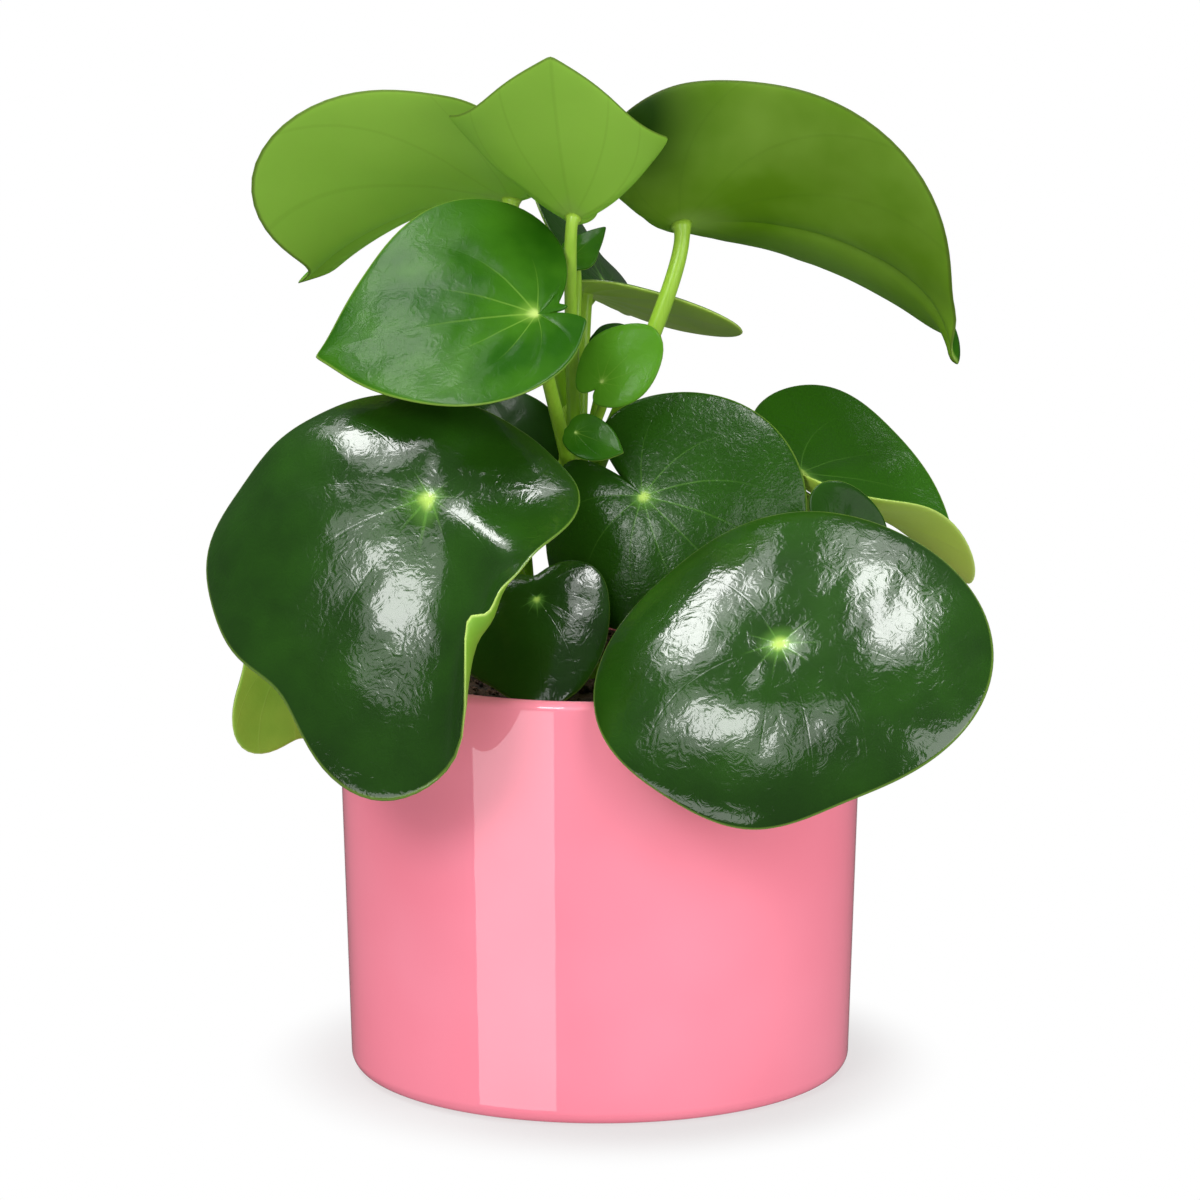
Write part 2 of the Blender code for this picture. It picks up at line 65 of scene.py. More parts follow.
# Each blade is a heart or teardrop seen from its own stalk. `at` is the point over the
# stalk, `face` the way the upper side looks and `tip` the way the point of the leaf runs.
# `radii` are the distances from the stalk to the margin at equal angles, starting at the
# tip and going counter-clockwise as seen from above. `droop` is how steeply the blade
# falls at its margin, also at equal angles from the tip; below zero it cups upwards.
# `rise` is the slope out of the dimple over the stalk. `sinus` is the notch behind the
# stalk as (share of the radius, width), `points` are pinched corners as (length, width,
# angle) and `curls` roll stretches of the margin as (angle, width, bend).
LEAVES = {
    "leaf_upper_left": dict(
        at=(-23.5, 26, 230.4), face=(0.13, 0.36, 0.92), tip=(-0.93, 0.36, 0),
        radii=(56, 70, 47, 42, 36, 14, 9, 14, 16, 30, 41, 62),
        droop=(50, -47, -22, -70, -100, -82), rise=2, points=((10, 4, 0),)),
    "leaf_top": dict(
        at=(-6.9, -18, 231.5), face=(0.28, 0.74, 0.61), tip=(-0.17, -0.59, 0.79),
        radii=(45, 34, 25, 12, 12, 9, 7, 12, 14, 21, 32, 39),
        droop=(-20, -70, -140, -80, -140, -35), rise=2,
        points=((5, 8, 0), (9, 15, 60), (9, 15, -56))),
    "leaf_upper_right": dict(
        at=(21.4, 8, 226), face=(-0.2, 0.62, 0.76), tip=(0.96, 0.2, 0.1),
        radii=(79, 64, 36, 28, 22, 18, 17, 29, 38, 44, 51, 72),
        droop=(68, -66, -130, -74, -55, -28), rise=2, points=((16, 4, 0),),
        curls=((0, 4, 45),)),
    "leaf_middle_left": dict(
        at=(-16.3, -38, 208.9), face=(-0.05, -0.6, 0.8), tip=(-1, -0.05, -0.05),
        radii=(53, 44, 36, 26, 18, 14, 12, 7, 18, 37, 48, 50),
        droop=(20, 0, 0, 0, 5, 0), rise=5, sinus=(0.7, 9), points=((6, 7, 0),)),
    "leaf_middle_back": dict(
        at=(-3.2, 24, 205.5), face=(0.28, 0.31, 0.91), tip=(0.95, -0.25, -0.2),
        radii=(43, 34, 27, 20, 14, 8, 5, 6, 8, 11, 16, 27),
        droop=(0, 0, -20, -20, 0, -10), rise=2),
    "leaf_young_centre": dict(
        at=(0.5, -20, 188.2), face=(-0.3, -0.85, 0.45), tip=(0.7, 0.1, 0.7),
        radii=(20, 17, 14, 10, 8, 7, 6, 6, 7, 9, 12, 16),
        droop=(10, 20, 20, 10, 15, 15), rise=4, sinus=(0.6, 16)),
    "leaf_young_small": dict(
        at=(-6.5, -28, 176.2), face=(-0.05, -0.75, 0.7), tip=(0.9, -0.3, -0.3),
        radii=(12, 10, 8, 7, 5, 3, 3, 3, 4, 5, 7, 10),
        droop=(10, 10, 15, 10, 10, 15), rise=4, points=((2, 9, 0),)),
    "leaf_young_pointed": dict(
        at=(-6.9, 2, 218), face=(-0.2, -0.8, 0.55), tip=(0.62, 0.1, 0.75),
        radii=(9, 7, 6, 5, 4, 4, 3, 4, 4, 5, 6, 7),
        droop=(10, 15, 10, 5, 10, 15), rise=3, points=((3, 10, 0),)),
    "leaf_young_dark": dict(
        at=(1.9, -10, 196.6), face=(0, -0.8, 0.6), tip=(0.5, -0.2, 0.8),
        radii=(8, 7, 6, 5, 5, 4, 3, 4, 5, 5, 6, 7),
        droop=(15, 15, 10, 10, 10, 15), rise=3),
    "leaf_top_back": dict(
        at=(1, 58, 202), face=(0.72, -0.2, 0.66), tip=(-0.4, 0.6, 0.7),
        radii=(38, 26, 16, 13, 12, 9, 8, 10, 13, 18, 22, 20),
        droop=(0, 10, 10, 10, 10, 10), rise=3, points=((4, 7, 0),)),
    "leaf_front_left": dict(
        at=(-43.6, -58, 164.7), face=(-0.1, -0.87, 0.47), tip=(-0.17, -0.44, -0.88),
        radii=(80, 71, 56, 45, 39, 37, 38, 39, 37, 35, 32, 29,
               28, 31, 37, 41, 44, 50, 57, 66, 68, 67, 65, 75),
        droop=(25, -10, -40, 5, 40, 40, 15, 40, 35, 40, 40, 30), rise=8,
        curls=((26, 7, -130), (38, 13, -80))),
    "leaf_front_right": dict(
        at=(45.7, -80, 130.8), face=(-0.1, -0.74, 0.67), tip=(-0.2, -0.65, -0.75),
        radii=(50, 46, 50, 55, 54, 48, 44, 42, 42, 47, 52, 50),
        droop=(45, 25, 25, 20, 30, 30), rise=10),
    "leaf_centre_right": dict(
        at=(11.2, -21, 158.1), face=(-0.1, -0.88, 0.47), tip=(0.7, -0.4, -0.6),
        radii=(42, 44, 42, 37, 31, 26, 22, 26, 29, 34, 36, 38),
        droop=(30, 15, 15, 15, 35, 30), rise=6, sinus=(0.7, 8)),
    "leaf_centre_front": dict(
        at=(-16.4, -36, 133.7), face=(-0.1, -0.75, 0.65), tip=(0.05, -0.65, -0.75),
        radii=(31, 26, 21, 19, 18, 13, 8, 11, 16, 18, 26, 27),
        droop=(15, 25, 15, 20, 30, 25), rise=6),
    "leaf_right_folded": dict(
        at=(53.1, 4, 159.6), face=(0.33, -0.3, 0.87), tip=(0.92, -0.07, -0.36),
        radii=(53, 39, 38, 39, 31, 18, 9, 12, 15, 18, 41, 51),
        droop=(25, -10, -20, -25, -15, -5, -15, -70, -65, -55, -50, -35), rise=2),
    "leaf_right_dark": dict(
        at=(63, -40, 151), face=(0.1, -0.95, 0.28), tip=(0.6, -0.1, -0.8),
        radii=(14, 13, 12, 12, 13, 15, 14, 8, 7, 8, 10, 12),
        droop=(10, 5, 5, 5, 5, 5), rise=4),
    "leaf_left_dark": dict(
        at=(-27, 10, 166.4), face=(0.2, -0.75, 0.63), tip=(-0.4, -0.4, -0.8),
        radii=(20, 20, 19, 19, 20, 20, 19, 19, 19, 19, 19, 20),
        droop=(25, 15, 15, 10, 15, 20), rise=4),
    "leaf_low_left": dict(
        at=(-82.3, -4, 114.9), face=(-0.35, 0.88, 0.3), tip=(0, 0.3, -0.95),
        radii=(26, 31, 18, 13, 10, 8, 5, 6, 7, 8, 9, 12),
        droop=(15, 15, 10, 10, 10, 10), rise=3, points=((7, 6, -8),)),
    "leaf_back_left": dict(
        at=(-48, 44, 148), face=(-0.45, 0.5, 0.74), tip=(-0.5, 0.65, -0.55),
        radii=(50, 43, 38, 36, 34, 28, 20, 28, 34, 36, 38, 43),
        droop=(30, 25, 20, 10, 20, 25), rise=6, sinus=(0.6, 13), points=((5, 7, 0),)),
    "leaf_back_right": dict(
        at=(46, 46, 142), face=(0.4, 0.55, 0.73), tip=(0.45, 0.7, -0.55),
        radii=(52, 45, 40, 38, 35, 29, 20, 29, 35, 38, 40, 45),
        droop=(30, 20, 25, 10, 25, 20), rise=6, sinus=(0.6, 13), points=((5, 7, 0),)),
    "leaf_back_centre": dict(
        at=(19, 57, 127), face=(0, 0.45, 0.89), tip=(-0.05, 0.85, -0.5),
        radii=(40, 33, 28, 25, 24, 20, 15, 20, 24, 25, 28, 33),
        droop=(30, 20, 15, 10, 15, 20), rise=5, sinus=(0.6, 13), points=((5, 7, 0),)),
    "leaf_back_upper": dict(
        at=(-30, 42, 190), face=(-0.2, 0.45, 0.87), tip=(-0.35, 0.85, -0.35),
        radii=(32, 27, 24, 22, 20, 17, 12, 17, 20, 22, 24, 27),
        droop=(30, 20, 15, 10, 15, 20), rise=5, sinus=(0.6, 13), points=((4, 7, 0),)),
}

# Three shoots stand in the soil. `foot` is where one enters it, `top` is its upper end,
# and each stalk leaves the shoot at a height and runs to the leaf of that name. The two
# numbers after the height are shares of the stalk's length: how far it keeps straight up
# where it starts, and square to the blade where it ends.
SHOOTS = {
    "stem_main": dict(
        foot=(-4, 2), top=(-8, 0, 180), radius=4.2,
        stalks={
            "leaf_upper_left": (168, 0.35, 0.25),
            "leaf_top": (154, 0.3, 0.08),
            "leaf_upper_right": (146, 0.12, 0.18),
            "leaf_middle_left": (150, 0.15, 0.3),
            "leaf_middle_back": (144, 0.05, 0.05),
            "leaf_young_centre": (150, 0.45, 0.3),
            "leaf_young_small": (162, 0.3, 0.3),
            "leaf_young_pointed": (176, 0.3, 0.3),
            "leaf_young_dark": (150, 0.2, 0.3),
            "leaf_top_back": (162, 0.3, 0.25),
        }),
    "stem_left": dict(
        foot=(-18, 4), top=(-19, 4, 120), radius=3.4,
        stalks={
            "leaf_front_left": (112, 0.4, 0.25),
            "leaf_left_dark": (112, 0.1, 0.25),
            "leaf_centre_front": (108, 0.15, 0.25),
            "leaf_low_left": (114, 0.3, 0.25),
            "leaf_back_left": (116, 0.3, 0.25),
            "leaf_back_upper": (116, 0.35, 0.3),
        }),
    "stem_right": dict(
        foot=(18, 0), top=(19, 0, 124), radius=3.6,
        stalks={
            "leaf_front_right": (109, 0.08, 0.25),
            "leaf_centre_right": (118, 0.3, 0.25),
            "leaf_right_folded": (118, 0.3, 0.25),
            "leaf_right_dark": (107, 0.05, 0.35),
            "leaf_back_right": (116, 0.3, 0.25),
            "leaf_back_centre": (112, 0.2, 0.25),
        }),
}

# How deep the main veins lie, as a share of the full depth: in the leaves where they
# show, and in all others
VEINED = {"leaf_centre_right": 0.25, "leaf_right_folded": 0.35, "leaf_middle_left": 0.4,
          "leaf_middle_back": 0.4}
FAINT_VEINS = 0.04

# How much lighter than its kind's deepest green a leaf is, from 0 to 1
TONES = {"leaf_upper_left": 0.8, "leaf_top": 0.8, "leaf_young_centre": 0.65,
         "leaf_right_folded": 0.8, "leaf_low_left": 0.1, "leaf_middle_back": 0.4,
         "leaf_centre_right": 0.25}

# Painted shade, a deep green corner where no light comes through the blade: its middle and
# reach, as shares of the way out from the stalk with the tip at (1, 0), and its depth
PAINTED_SHADE = {"leaf_upper_right": (-0.32, -0.86, 0.38, 1.1)}
NO_PAINTED_SHADE = (0, 0, 1, 0)

# Leaves by the finish of their skin; all others are waxy
YOUNG_LEAVES = ("leaf_upper_left", "leaf_top", "leaf_upper_right", "leaf_middle_left",
                "leaf_young_centre", "leaf_young_small", "leaf_young_pointed")
SATIN_LEAVES = ("leaf_centre_right", "leaf_right_folded", "leaf_top_back")
DULL_LEAVES = ("leaf_right_dark", "leaf_left_dark", "leaf_young_dark")

# Leaves by the button that builds them
UPPER_LEAVES = tuple(SHOOTS["stem_main"]["stalks"])
BACK_LEAVES = tuple(name for name in LEAVES if name.startswith("leaf_back"))
FRONT_LEAVES = tuple(name for name in LEAVES if name not in UPPER_LEAVES + BACK_LEAVES)

# Upper sides: the light green of patches and lighter leaves, then veins, the spot over
# the stalk and the margin; the weight of the wax, the spacing and height of wrinkles, how
# far out pale veins show as a share, and the share of light that comes through
MATURE_GREENS = dict(light="2C5C10", vein="5F9138", spot="A8C85C", margin="6E8F35")
SKINS = {
    "young_leaf_skin": dict(
        light="66A82A", vein="8DB848", spot="C3DB7C", margin="8DAF4A",
        wax=0.13, wrinkle_gap=0.0035, wrinkle_height=0.00010, vein_reach=0.55, through=0.35),
    "satin_leaf_skin": dict(
        MATURE_GREENS, wax=0.35, wrinkle_gap=0.0018, wrinkle_height=0.00013, vein_reach=0.75),
    "dull_leaf_skin": dict(
        MATURE_GREENS, wax=0.08, wrinkle_gap=0.0035, wrinkle_height=0.00006, vein_reach=0.2),
    "waxy_leaf_skin": dict(
        MATURE_GREENS, wax=1.0, wrinkle_gap=0.0035, wrinkle_height=0.00011, vein_reach=0.2),
}

# Undersides: deepest and light green, veins, the place of the stalk, the margin, and the
# share of light that comes through
UNDERSIDES = {
    "young_leaf_underside": dict(deep="7AAC1A", light="B2DE58", vein="5F8A1C",
                                 foot="A9C665", margin="5A6B26", through=0.6),
    "mature_leaf_underside": dict(deep="62961E", light="A8C648", vein="9DB65A",
                                  foot="ABC362", margin="ABC362"),
}
# Deep green of the painted shade on an underside
PAINTED_SHADE_GREEN = "2C5203"

# The main veins leave the stalk at these angles from the midrib, in degrees, on both
# sides. The second number is the share of its angle by which a vein has bent towards the
# tip when it reaches the margin.
VEINS = ((0, 0.0), (30, 0.35), (62, 0.4), (98, 0.3), (140, 0.15))

# How far below its leaf's middle surface a stalk ends, and how deep a shoot stands in the
# soil, in millimetres
STALK_SINK = 0.4
SHOOT_DEPTH = 8

# Mean height of the soil's uneven surface
SOIL_TOP = SOIL_HIGH.z - 0.0015


def linear(code):
    """Linear colour, with alpha 1, of an sRGB colour written as six hex digits."""
    parts = [int(code[k:k + 2], 16) / 255 for k in (0, 2, 4)]
    parts = [c / 12.92 if c <= 0.04045 else ((c + 0.055) / 1.055) ** 2.4 for c in parts]
    return (*parts, 1.0)


def fill(node, sockets):
    """Gives each named socket of a node a value, or another node's output to join to it."""
    for name, value in sockets.items():
        if isinstance(value, bpy.types.NodeSocket):
            node.id_data.links.new(value, node.inputs[name])
        else:
            node.inputs[name].default_value = value


def add_node(tree, kind, links=None, **settings):
    """Adds a node with its settings, its sockets' values and its links."""
    node = tree.nodes.new("ShaderNode" + kind)
    for name, value in settings.items():
        setattr(node, name, value)
    fill(node, links or {})
    return node


def new_material(name):
    """An empty material with its Principled shader, ready for its nodes."""
    material = bpy.data.materials.new(name)
    material.use_nodes = True
    return material, material.node_tree, material.node_tree.nodes["Principled BSDF"]


def skin_faces(rows, count, first=0):
    """Faces of a closed shell whose points are a pole, rows of `count` each, and a pole.

    Each point joins its neighbours along its row and in the next row, and the outer rows
    join their pole in a fan. The points start at number `first`.
    """
    near = first + 1 + np.arange(rows)[:, None] * count + np.arange(count)
    beside = np.roll(near, -1, axis=1)
    start, end = np.full(count, first), np.full(count, first + 1 + rows * count)
    start_fan = np.stack([start, beside[0], near[0]], -1)
    quads = np.stack([near[:-1], beside[:-1], beside[1:], near[1:]], -1).reshape(-1, 4)
    end_fan = np.stack([near[-1], beside[-1], end], -1)
    return start_fan.tolist() + quads.tolist() + end_fan.tolist()


def closed_shell(name, rows, first, last, materials, upper_from=None):
    """Skin over a grid of points, closed by a pole at either end.

    Rows run from the first pole to the last, and columns go round counter-clockwise about
    that way, so that all faces look outwards. Rows from `upper_from` on take the second
    material.
    """
    count_rows, count = rows.shape[:2]
    mesh = bpy.data.meshes.new(name)
    points = np.vstack([[first], rows.reshape(-1, 3), [last]])
    mesh.from_pydata(points, [], skin_faces(count_rows, count))
    for material in materials:
        mesh.materials.append(material)
    if upper_from is not None:
        slots = np.ones(len(mesh.polygons), np.int32)
        slots[:count * (upper_from + 1)] = 0
        mesh.polygons.foreach_set("material_index", slots)
    mesh.shade_smooth()
    return mesh


def store(mesh, name, values):
    """Keeps a vector for each point in the mesh, for its material to read."""
    mesh.attributes.new(name, "FLOAT_VECTOR", "POINT").data.foreach_set(
        "vector", np.ascontiguousarray(values, np.float32).ravel())


def place_piece(name, mesh, nodes):
    """Puts a finished mesh in the scene in place of CAD nodes, riding on the only body."""
    item = bpy.data.objects.new(name, mesh)
    bpy.context.scene.collection.objects.link(item)
    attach(item, "root")
    if nodes:
        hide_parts(*nodes)


def soft_noise(u, v, wavelength, seed):
    """Smooth unevenness from -1 to 1: six sine waves in seeded directions, averaged."""
    draw = np.random.default_rng(seed)
    waves = 6
    headings, phases = draw.uniform(0, 2 * pi, waves), draw.uniform(0, 2 * pi, waves)
    stretches = draw.uniform(0.7, 1.4, waves)
    total = np.zeros(np.broadcast(u, v).shape)
    for heading, phase, stretch in zip(headings, phases, stretches):
        run = u * cos(heading) + v * sin(heading)
        total += np.sin(2 * pi * run / wavelength / stretch + phase)
    return total / waves


def round_curve(values, angles):
    """Smooth closed curve through values at equal angles: a periodic cubic spline."""
    values = np.asarray(values, float)
    count = len(values)
    system = 4 * np.eye(count) + np.roll(np.eye(count), 1, 0) + np.roll(np.eye(count), -1, 0)
    bends = np.linalg.solve(system, 6 * (np.roll(values, -1) - 2 * values + np.roll(values, 1)))
    place = np.asarray(angles) / (2 * pi) * count
    low = np.floor(place).astype(int)
    share = place - low
    low %= count
    high = (low + 1) % count
    left = (1 - share) ** 3 - (1 - share)
    right = share ** 3 - share
    straight = (1 - share) * values[low] + share * values[high]
    return straight + left * bends[low] / 6 + right * bends[high] / 6


def turn_from(angles, centre):
    """Signed angle from a direction given in degrees."""
    return (np.asarray(angles) - radians(centre) + pi) % (2 * pi) - pi


def margin_radius(leaf, angles):
    """Distance from the stalk to the margin, in metres.

    A smooth closed curve, less a bell-shaped notch behind the stalk, plus a bump that
    falls off exponentially on both sides of each pinched corner, a little rounded there.
    """
    radius = round_curve(leaf["radii"], angles)
    if "sinus" in leaf:
        depth, width = leaf["sinus"]
        radius = radius * (1 - depth * np.exp(-(turn_from(angles, 180) / radians(width)) ** 2))
    for length, width, centre in leaf.get("points", ()):
        away = np.abs(turn_from(angles, centre)) / radians(width)
        radius = radius + length * np.exp(0.1 - np.sqrt(away ** 2 + 0.01))
    return radius * MM


def spoke_angles(leaf, count):
    """Angles of the spokes: even, but up to five times closer at notches and corners."""
    fine = np.linspace(0, 2 * pi, 1441)
    closeness = np.ones_like(fine)
    features = [(centre, width) for length, width, centre in leaf.get("points", ())]
    if "sinus" in leaf:
        features.append((180, leaf["sinus"][1]))
    for centre, width in features:
        closeness += 4 * np.exp(-(turn_from(fine, centre) / radians(width)) ** 2)
    run = np.concatenate([[0], np.cumsum((closeness[1:] + closeness[:-1]) / 2)])
    return np.interp(np.arange(count) / count * run[-1], run, fine)


def vein_distance(shares, angles):
    """Distance to the nearest main vein, as a share of the way to the margin.

    A vein that starts at one angle has reached that angle, less its bend times the square
    of the share of the way out, where it crosses a circle; the distance is the angle to
    it times the share.
    """
    turned = np.abs(turn_from(angles, 0))
    gaps = [np.abs(turned - radians(angle) * (1 - bend * shares ** 2)) for angle, bend in VEINS]
    return np.min(gaps, axis=0) * shares


def blade_middle(leaf, shares, angles):
    """Middle surface of a blade as a function of the share of the way out and the angle.

    Along each spoke the slope is the droop times the share, less the dimple's rise times
    the square of the rest of the way. Each rolled stretch of the margin adds its bend
    times the fifth power of the share and a bell about its own angle. The slope is summed
    in short steps, so the blade keeps its true length however it bends.
    """
    steps = 96
    share = (np.arange(steps) + 0.5) / steps
    slope = -radians(leaf["rise"]) * (1 - share)[:, None] ** 2
    slope = slope + np.radians(round_curve(leaf["droop"], angles))[None] * share[:, None]
    for centre, width, bend in leaf.get("curls", ()):
        near = np.exp(-(turn_from(angles, centre) / radians(width)) ** 2)
        slope = slope + radians(bend) * near[None] * share[:, None] ** 5
    length = margin_radius(leaf, angles) / steps
    start = np.zeros((1, len(angles)))
    out = np.vstack([start, np.cumsum(np.cos(slope), 0) * length])
    down = np.vstack([start, np.cumsum(np.sin(slope), 0) * length])
    low = np.minimum((shares * steps).astype(int), steps - 1)
    part = (shares * steps - low)[:, None]
    out = out[low] * (1 - part) + out[low + 1] * part
    down = down[low] * (1 - part) + down[low + 1] * part
    return np.stack([out * np.cos(angles), out * np.sin(angles), -down], -1)


def grid_normals(grid):
    """Unit normals of a grid that is closed along its second axis, by central differences."""
    across = np.roll(grid, -1, 1) - np.roll(grid, 1, 1)
    along = np.gradient(grid, axis=0)
    normal = np.cross(along, across)
    return normal / np.maximum(np.linalg.norm(normal, axis=-1, keepdims=True), 1e-12)


def leaf_frame(leaf):
    """Matrix whose columns run to the leaf's tip, across it, and the way its face looks."""
    z = Vector(leaf["face"]).normalized()
    tip = Vector(leaf["tip"])
    x = (tip - z * tip.dot(z)).normalized()
    return np.array([x, z.cross(x), z]).T


def make_blade(name, leaf, settings, materials, seed):
    """One blade as a thin closed shell.

    Both faces are the middle surface moved along its normal by half the thickness times
    the root of one minus the 40th power of the share of the way out, so that they close at
    the margin. The middle surface sinks in a bell-shaped groove along each vein and swells
    between the veins. A larger leaf has more rings and spokes, and rings lie closer
    together near the margin.
    """
    size = max(leaf["radii"])
    rings = int(np.interp(size, (10, 60), (14, 40)))
    spokes = int(np.interp(size, (10, 60), (64, 160)))
    angles = spoke_angles(leaf, spokes)
    even = np.linspace(0, 1, rings + 1)[1:]
    shares = 1 - (1 - even) ** 1.5
    middle = blade_middle(leaf, shares, angles)
    normal = grid_normals(middle)
    reach = margin_radius(leaf, angles)[None] * shares[:, None]
    u, v = reach * np.cos(angles), reach * np.sin(angles)
    scale = min(1, size / 40)
    groove_width, broad, fine = 0.045, 0.022 * scale, 0.009 * scale
    groove = np.exp(-(vein_distance(shares[:, None], angles[None]) / groove_width) ** 2)
    fade = (1 - shares[:, None] ** 3) * np.minimum(1, shares[:, None] * 3)
    relief = -settings.vein_depth * VEINED.get(name, FAINT_VEINS) * groove * fade * scale
    swelling = soft_noise(u, v, broad, seed) + 0.45 * soft_noise(u, v, fine, seed + 50)
    relief = relief + settings.swell * scale * fade ** 0.5 * swelling
    middle = middle + normal * relief[..., None]
    normal = grid_normals(middle)
    half = settings.thickness / 2 * np.sqrt(1 - shares ** 40)[:, None, None]
    upper = middle + normal * half
    lower = middle - normal * half
    rows = np.concatenate([lower, upper[-2::-1]])
    turn = leaf_frame(leaf)
    place = np.array(leaf["at"]) * MM
    poles = np.array([[0, 0, -1], [0, 0, 1]]) * settings.thickness / 2 @ turn.T + place
    mesh = closed_shell(name, rows @ turn.T + place, *poles, materials, upper_from=rings - 1)
    # Its material reads the way out from the stalk and the tone at each point; a painted
    # shade lowers the tone below zero
    tone = TONES.get(name, 0)
    disc = np.stack([shares[:, None] * np.cos(angles), shares[:, None] * np.sin(angles),
                     np.full((rings, spokes), tone)], -1)
    # Painted shade: a bell-shaped dip of the tone, which the underside paints deep green
    east, north, spread, depth = PAINTED_SHADE.get(name, NO_PAINTED_SHADE)
    away = np.hypot(disc[..., 0] - east, disc[..., 1] - north)
    disc[..., 2] -= depth * np.exp(-(away / spread) ** 2)
    disc = np.concatenate([disc, disc[-2::-1]]).reshape(-1, 3)
    store(mesh, "blade_map", np.vstack([[[0, 0, tone]], disc, [[0, 0, tone]]]))
    place_piece(name + "_blade", mesh, [name])


def curve_points(knots, count):
    """Points and unit tangents of a cubic Bezier curve, at equal steps from end to end."""
    t = np.linspace(0, 1, count)[:, None]
    a, b, c, d = knots
    points = (1 - t) ** 3 * a + 3 * (1 - t) ** 2 * t * b + 3 * (1 - t) * t ** 2 * c + t ** 3 * d
    tangents = (1 - t) ** 2 * (b - a) + 2 * (1 - t) * t * (c - b) + t ** 2 * (d - c)
    return points, tangents / np.linalg.norm(tangents, axis=1, keepdims=True)


def tube_grid(points, tangents, radii, sides):
    """Circles of the given radii round a path.

    Each point is the centre plus the radius times (cos a, sin a) in the two directions
    square to the path that a fixed slanting guide gives.
    """
    guide = np.array([0.83, 0.52, 0.2])
    across = np.cross(tangents, guide)
    across /= np.linalg.norm(across, axis=1, keepdims=True)
    other = np.cross(tangents, across)
    turn = np.linspace(0, 2 * pi, sides, endpoint=False)
    east, north = np.cos(turn)[None, :, None], np.sin(turn)[None, :, None]
    ring = across[:, None] * east + other[:, None] * north
    return points[:, None] + ring * radii[:, None, None]


def join_tubes(name, tubes, material):
    """One mesh out of several closed tubes that run into each other."""
    points, faces, along = [], [], []
    for tube in tubes:
        rows, sides = tube.shape[:2]
        faces += skin_faces(rows, sides, first=sum(map(len, points)))
        points.append(np.vstack([tube[:1].mean(1), tube.reshape(-1, 3), tube[-1:].mean(1)]))
        along.append(np.concatenate([[0], np.repeat(np.linspace(0, 1, rows), sides), [1]]))
    mesh = bpy.data.meshes.new(name)
    mesh.from_pydata(np.vstack(points), [], faces)
    mesh.materials.append(material)
    mesh.shade_smooth()
    along = np.concatenate(along)
    store(mesh, "stalk_map", np.stack([along, np.zeros_like(along), np.zeros_like(along)], -1))
    return mesh


def shoot_point(shoot, height):
    """Point on a shoot's straight axis at a height, in millimetres."""
    foot = np.array([*shoot["foot"], SOIL_HIGH.z / MM])
    top = np.array(shoot["top"], float)
    return foot + (top - foot) * (height - foot[2]) / (top[2] - foot[2])


def make_shoot(name, shoot, settings, material):
    """A shoot with its leaf stalks.

    The shoot is a tube that swells by a bell at each height where a stalk leaves it and
    is rounded at its top. A stalk is a tube whose radius shrinks along it, with an
    exponential flare at its foot and a second one where it meets the blade.
    """
    sides, shoot_steps, stalk_steps = 20, 60, 48
    swelling, swelling_reach = 0.0005, 0.002
    foot_flare, top_flare = 0.0012, 0.0009
    # The reaches of the flares are in millimetres, like the stalk's length
    foot_reach, top_reach = 3, 2
    low = shoot_point(shoot, SOIL_HIGH.z / MM - SHOOT_DEPTH) * MM
    top = np.array(shoot["top"]) * MM
    third = (top - low) / 3
    points, tangents = curve_points((low, low + third, top - third, top), shoot_steps)
    radii = shoot["radius"] * MM * np.linspace(1.0, 0.8, shoot_steps)
    for height, *bends in shoot["stalks"].values():
        away = (points[:, 2] - height * MM) / swelling_reach
        radii = radii + swelling * np.exp(-away ** 2)
    rounding = np.sqrt(np.clip(1 - np.linspace(-0.2, 1, shoot_steps) ** 16, 0.02, 1))
    tubes = [tube_grid(points, tangents, radii * rounding, sides)]
    for leaf_name, (height, rise_share, end_share) in shoot["stalks"].items():
        leaf = LEAVES[leaf_name]
        face = np.array(leaf["face"]) / np.linalg.norm(leaf["face"])
        start = shoot_point(shoot, height)
        end = np.array(leaf["at"]) - face * STALK_SINK
        length = np.linalg.norm(end - start)
        knots = (start, start + np.array([0, 0, length * rise_share]),
                 end - face * length * end_share, end)
        points, tangents = curve_points([knot * MM for knot in knots], stalk_steps)
        along = np.linspace(0, 1, stalk_steps)
        # A longer leaf has a thicker stalk
        size = 0.5 + 0.5 * max(leaf["radii"]) / 65
        radii = settings.foot_radius + (settings.top_radius - settings.foot_radius) * along
        radii = radii + foot_flare * np.exp(-along * length / foot_reach)
        radii = size * (radii + top_flare * np.exp((along - 1) * length / top_reach))
        tubes.append(tube_grid(points, tangents, radii, sides))
    mesh = join_tubes(name, tubes, material)
    place_piece(name + "_stalks", mesh, [name])


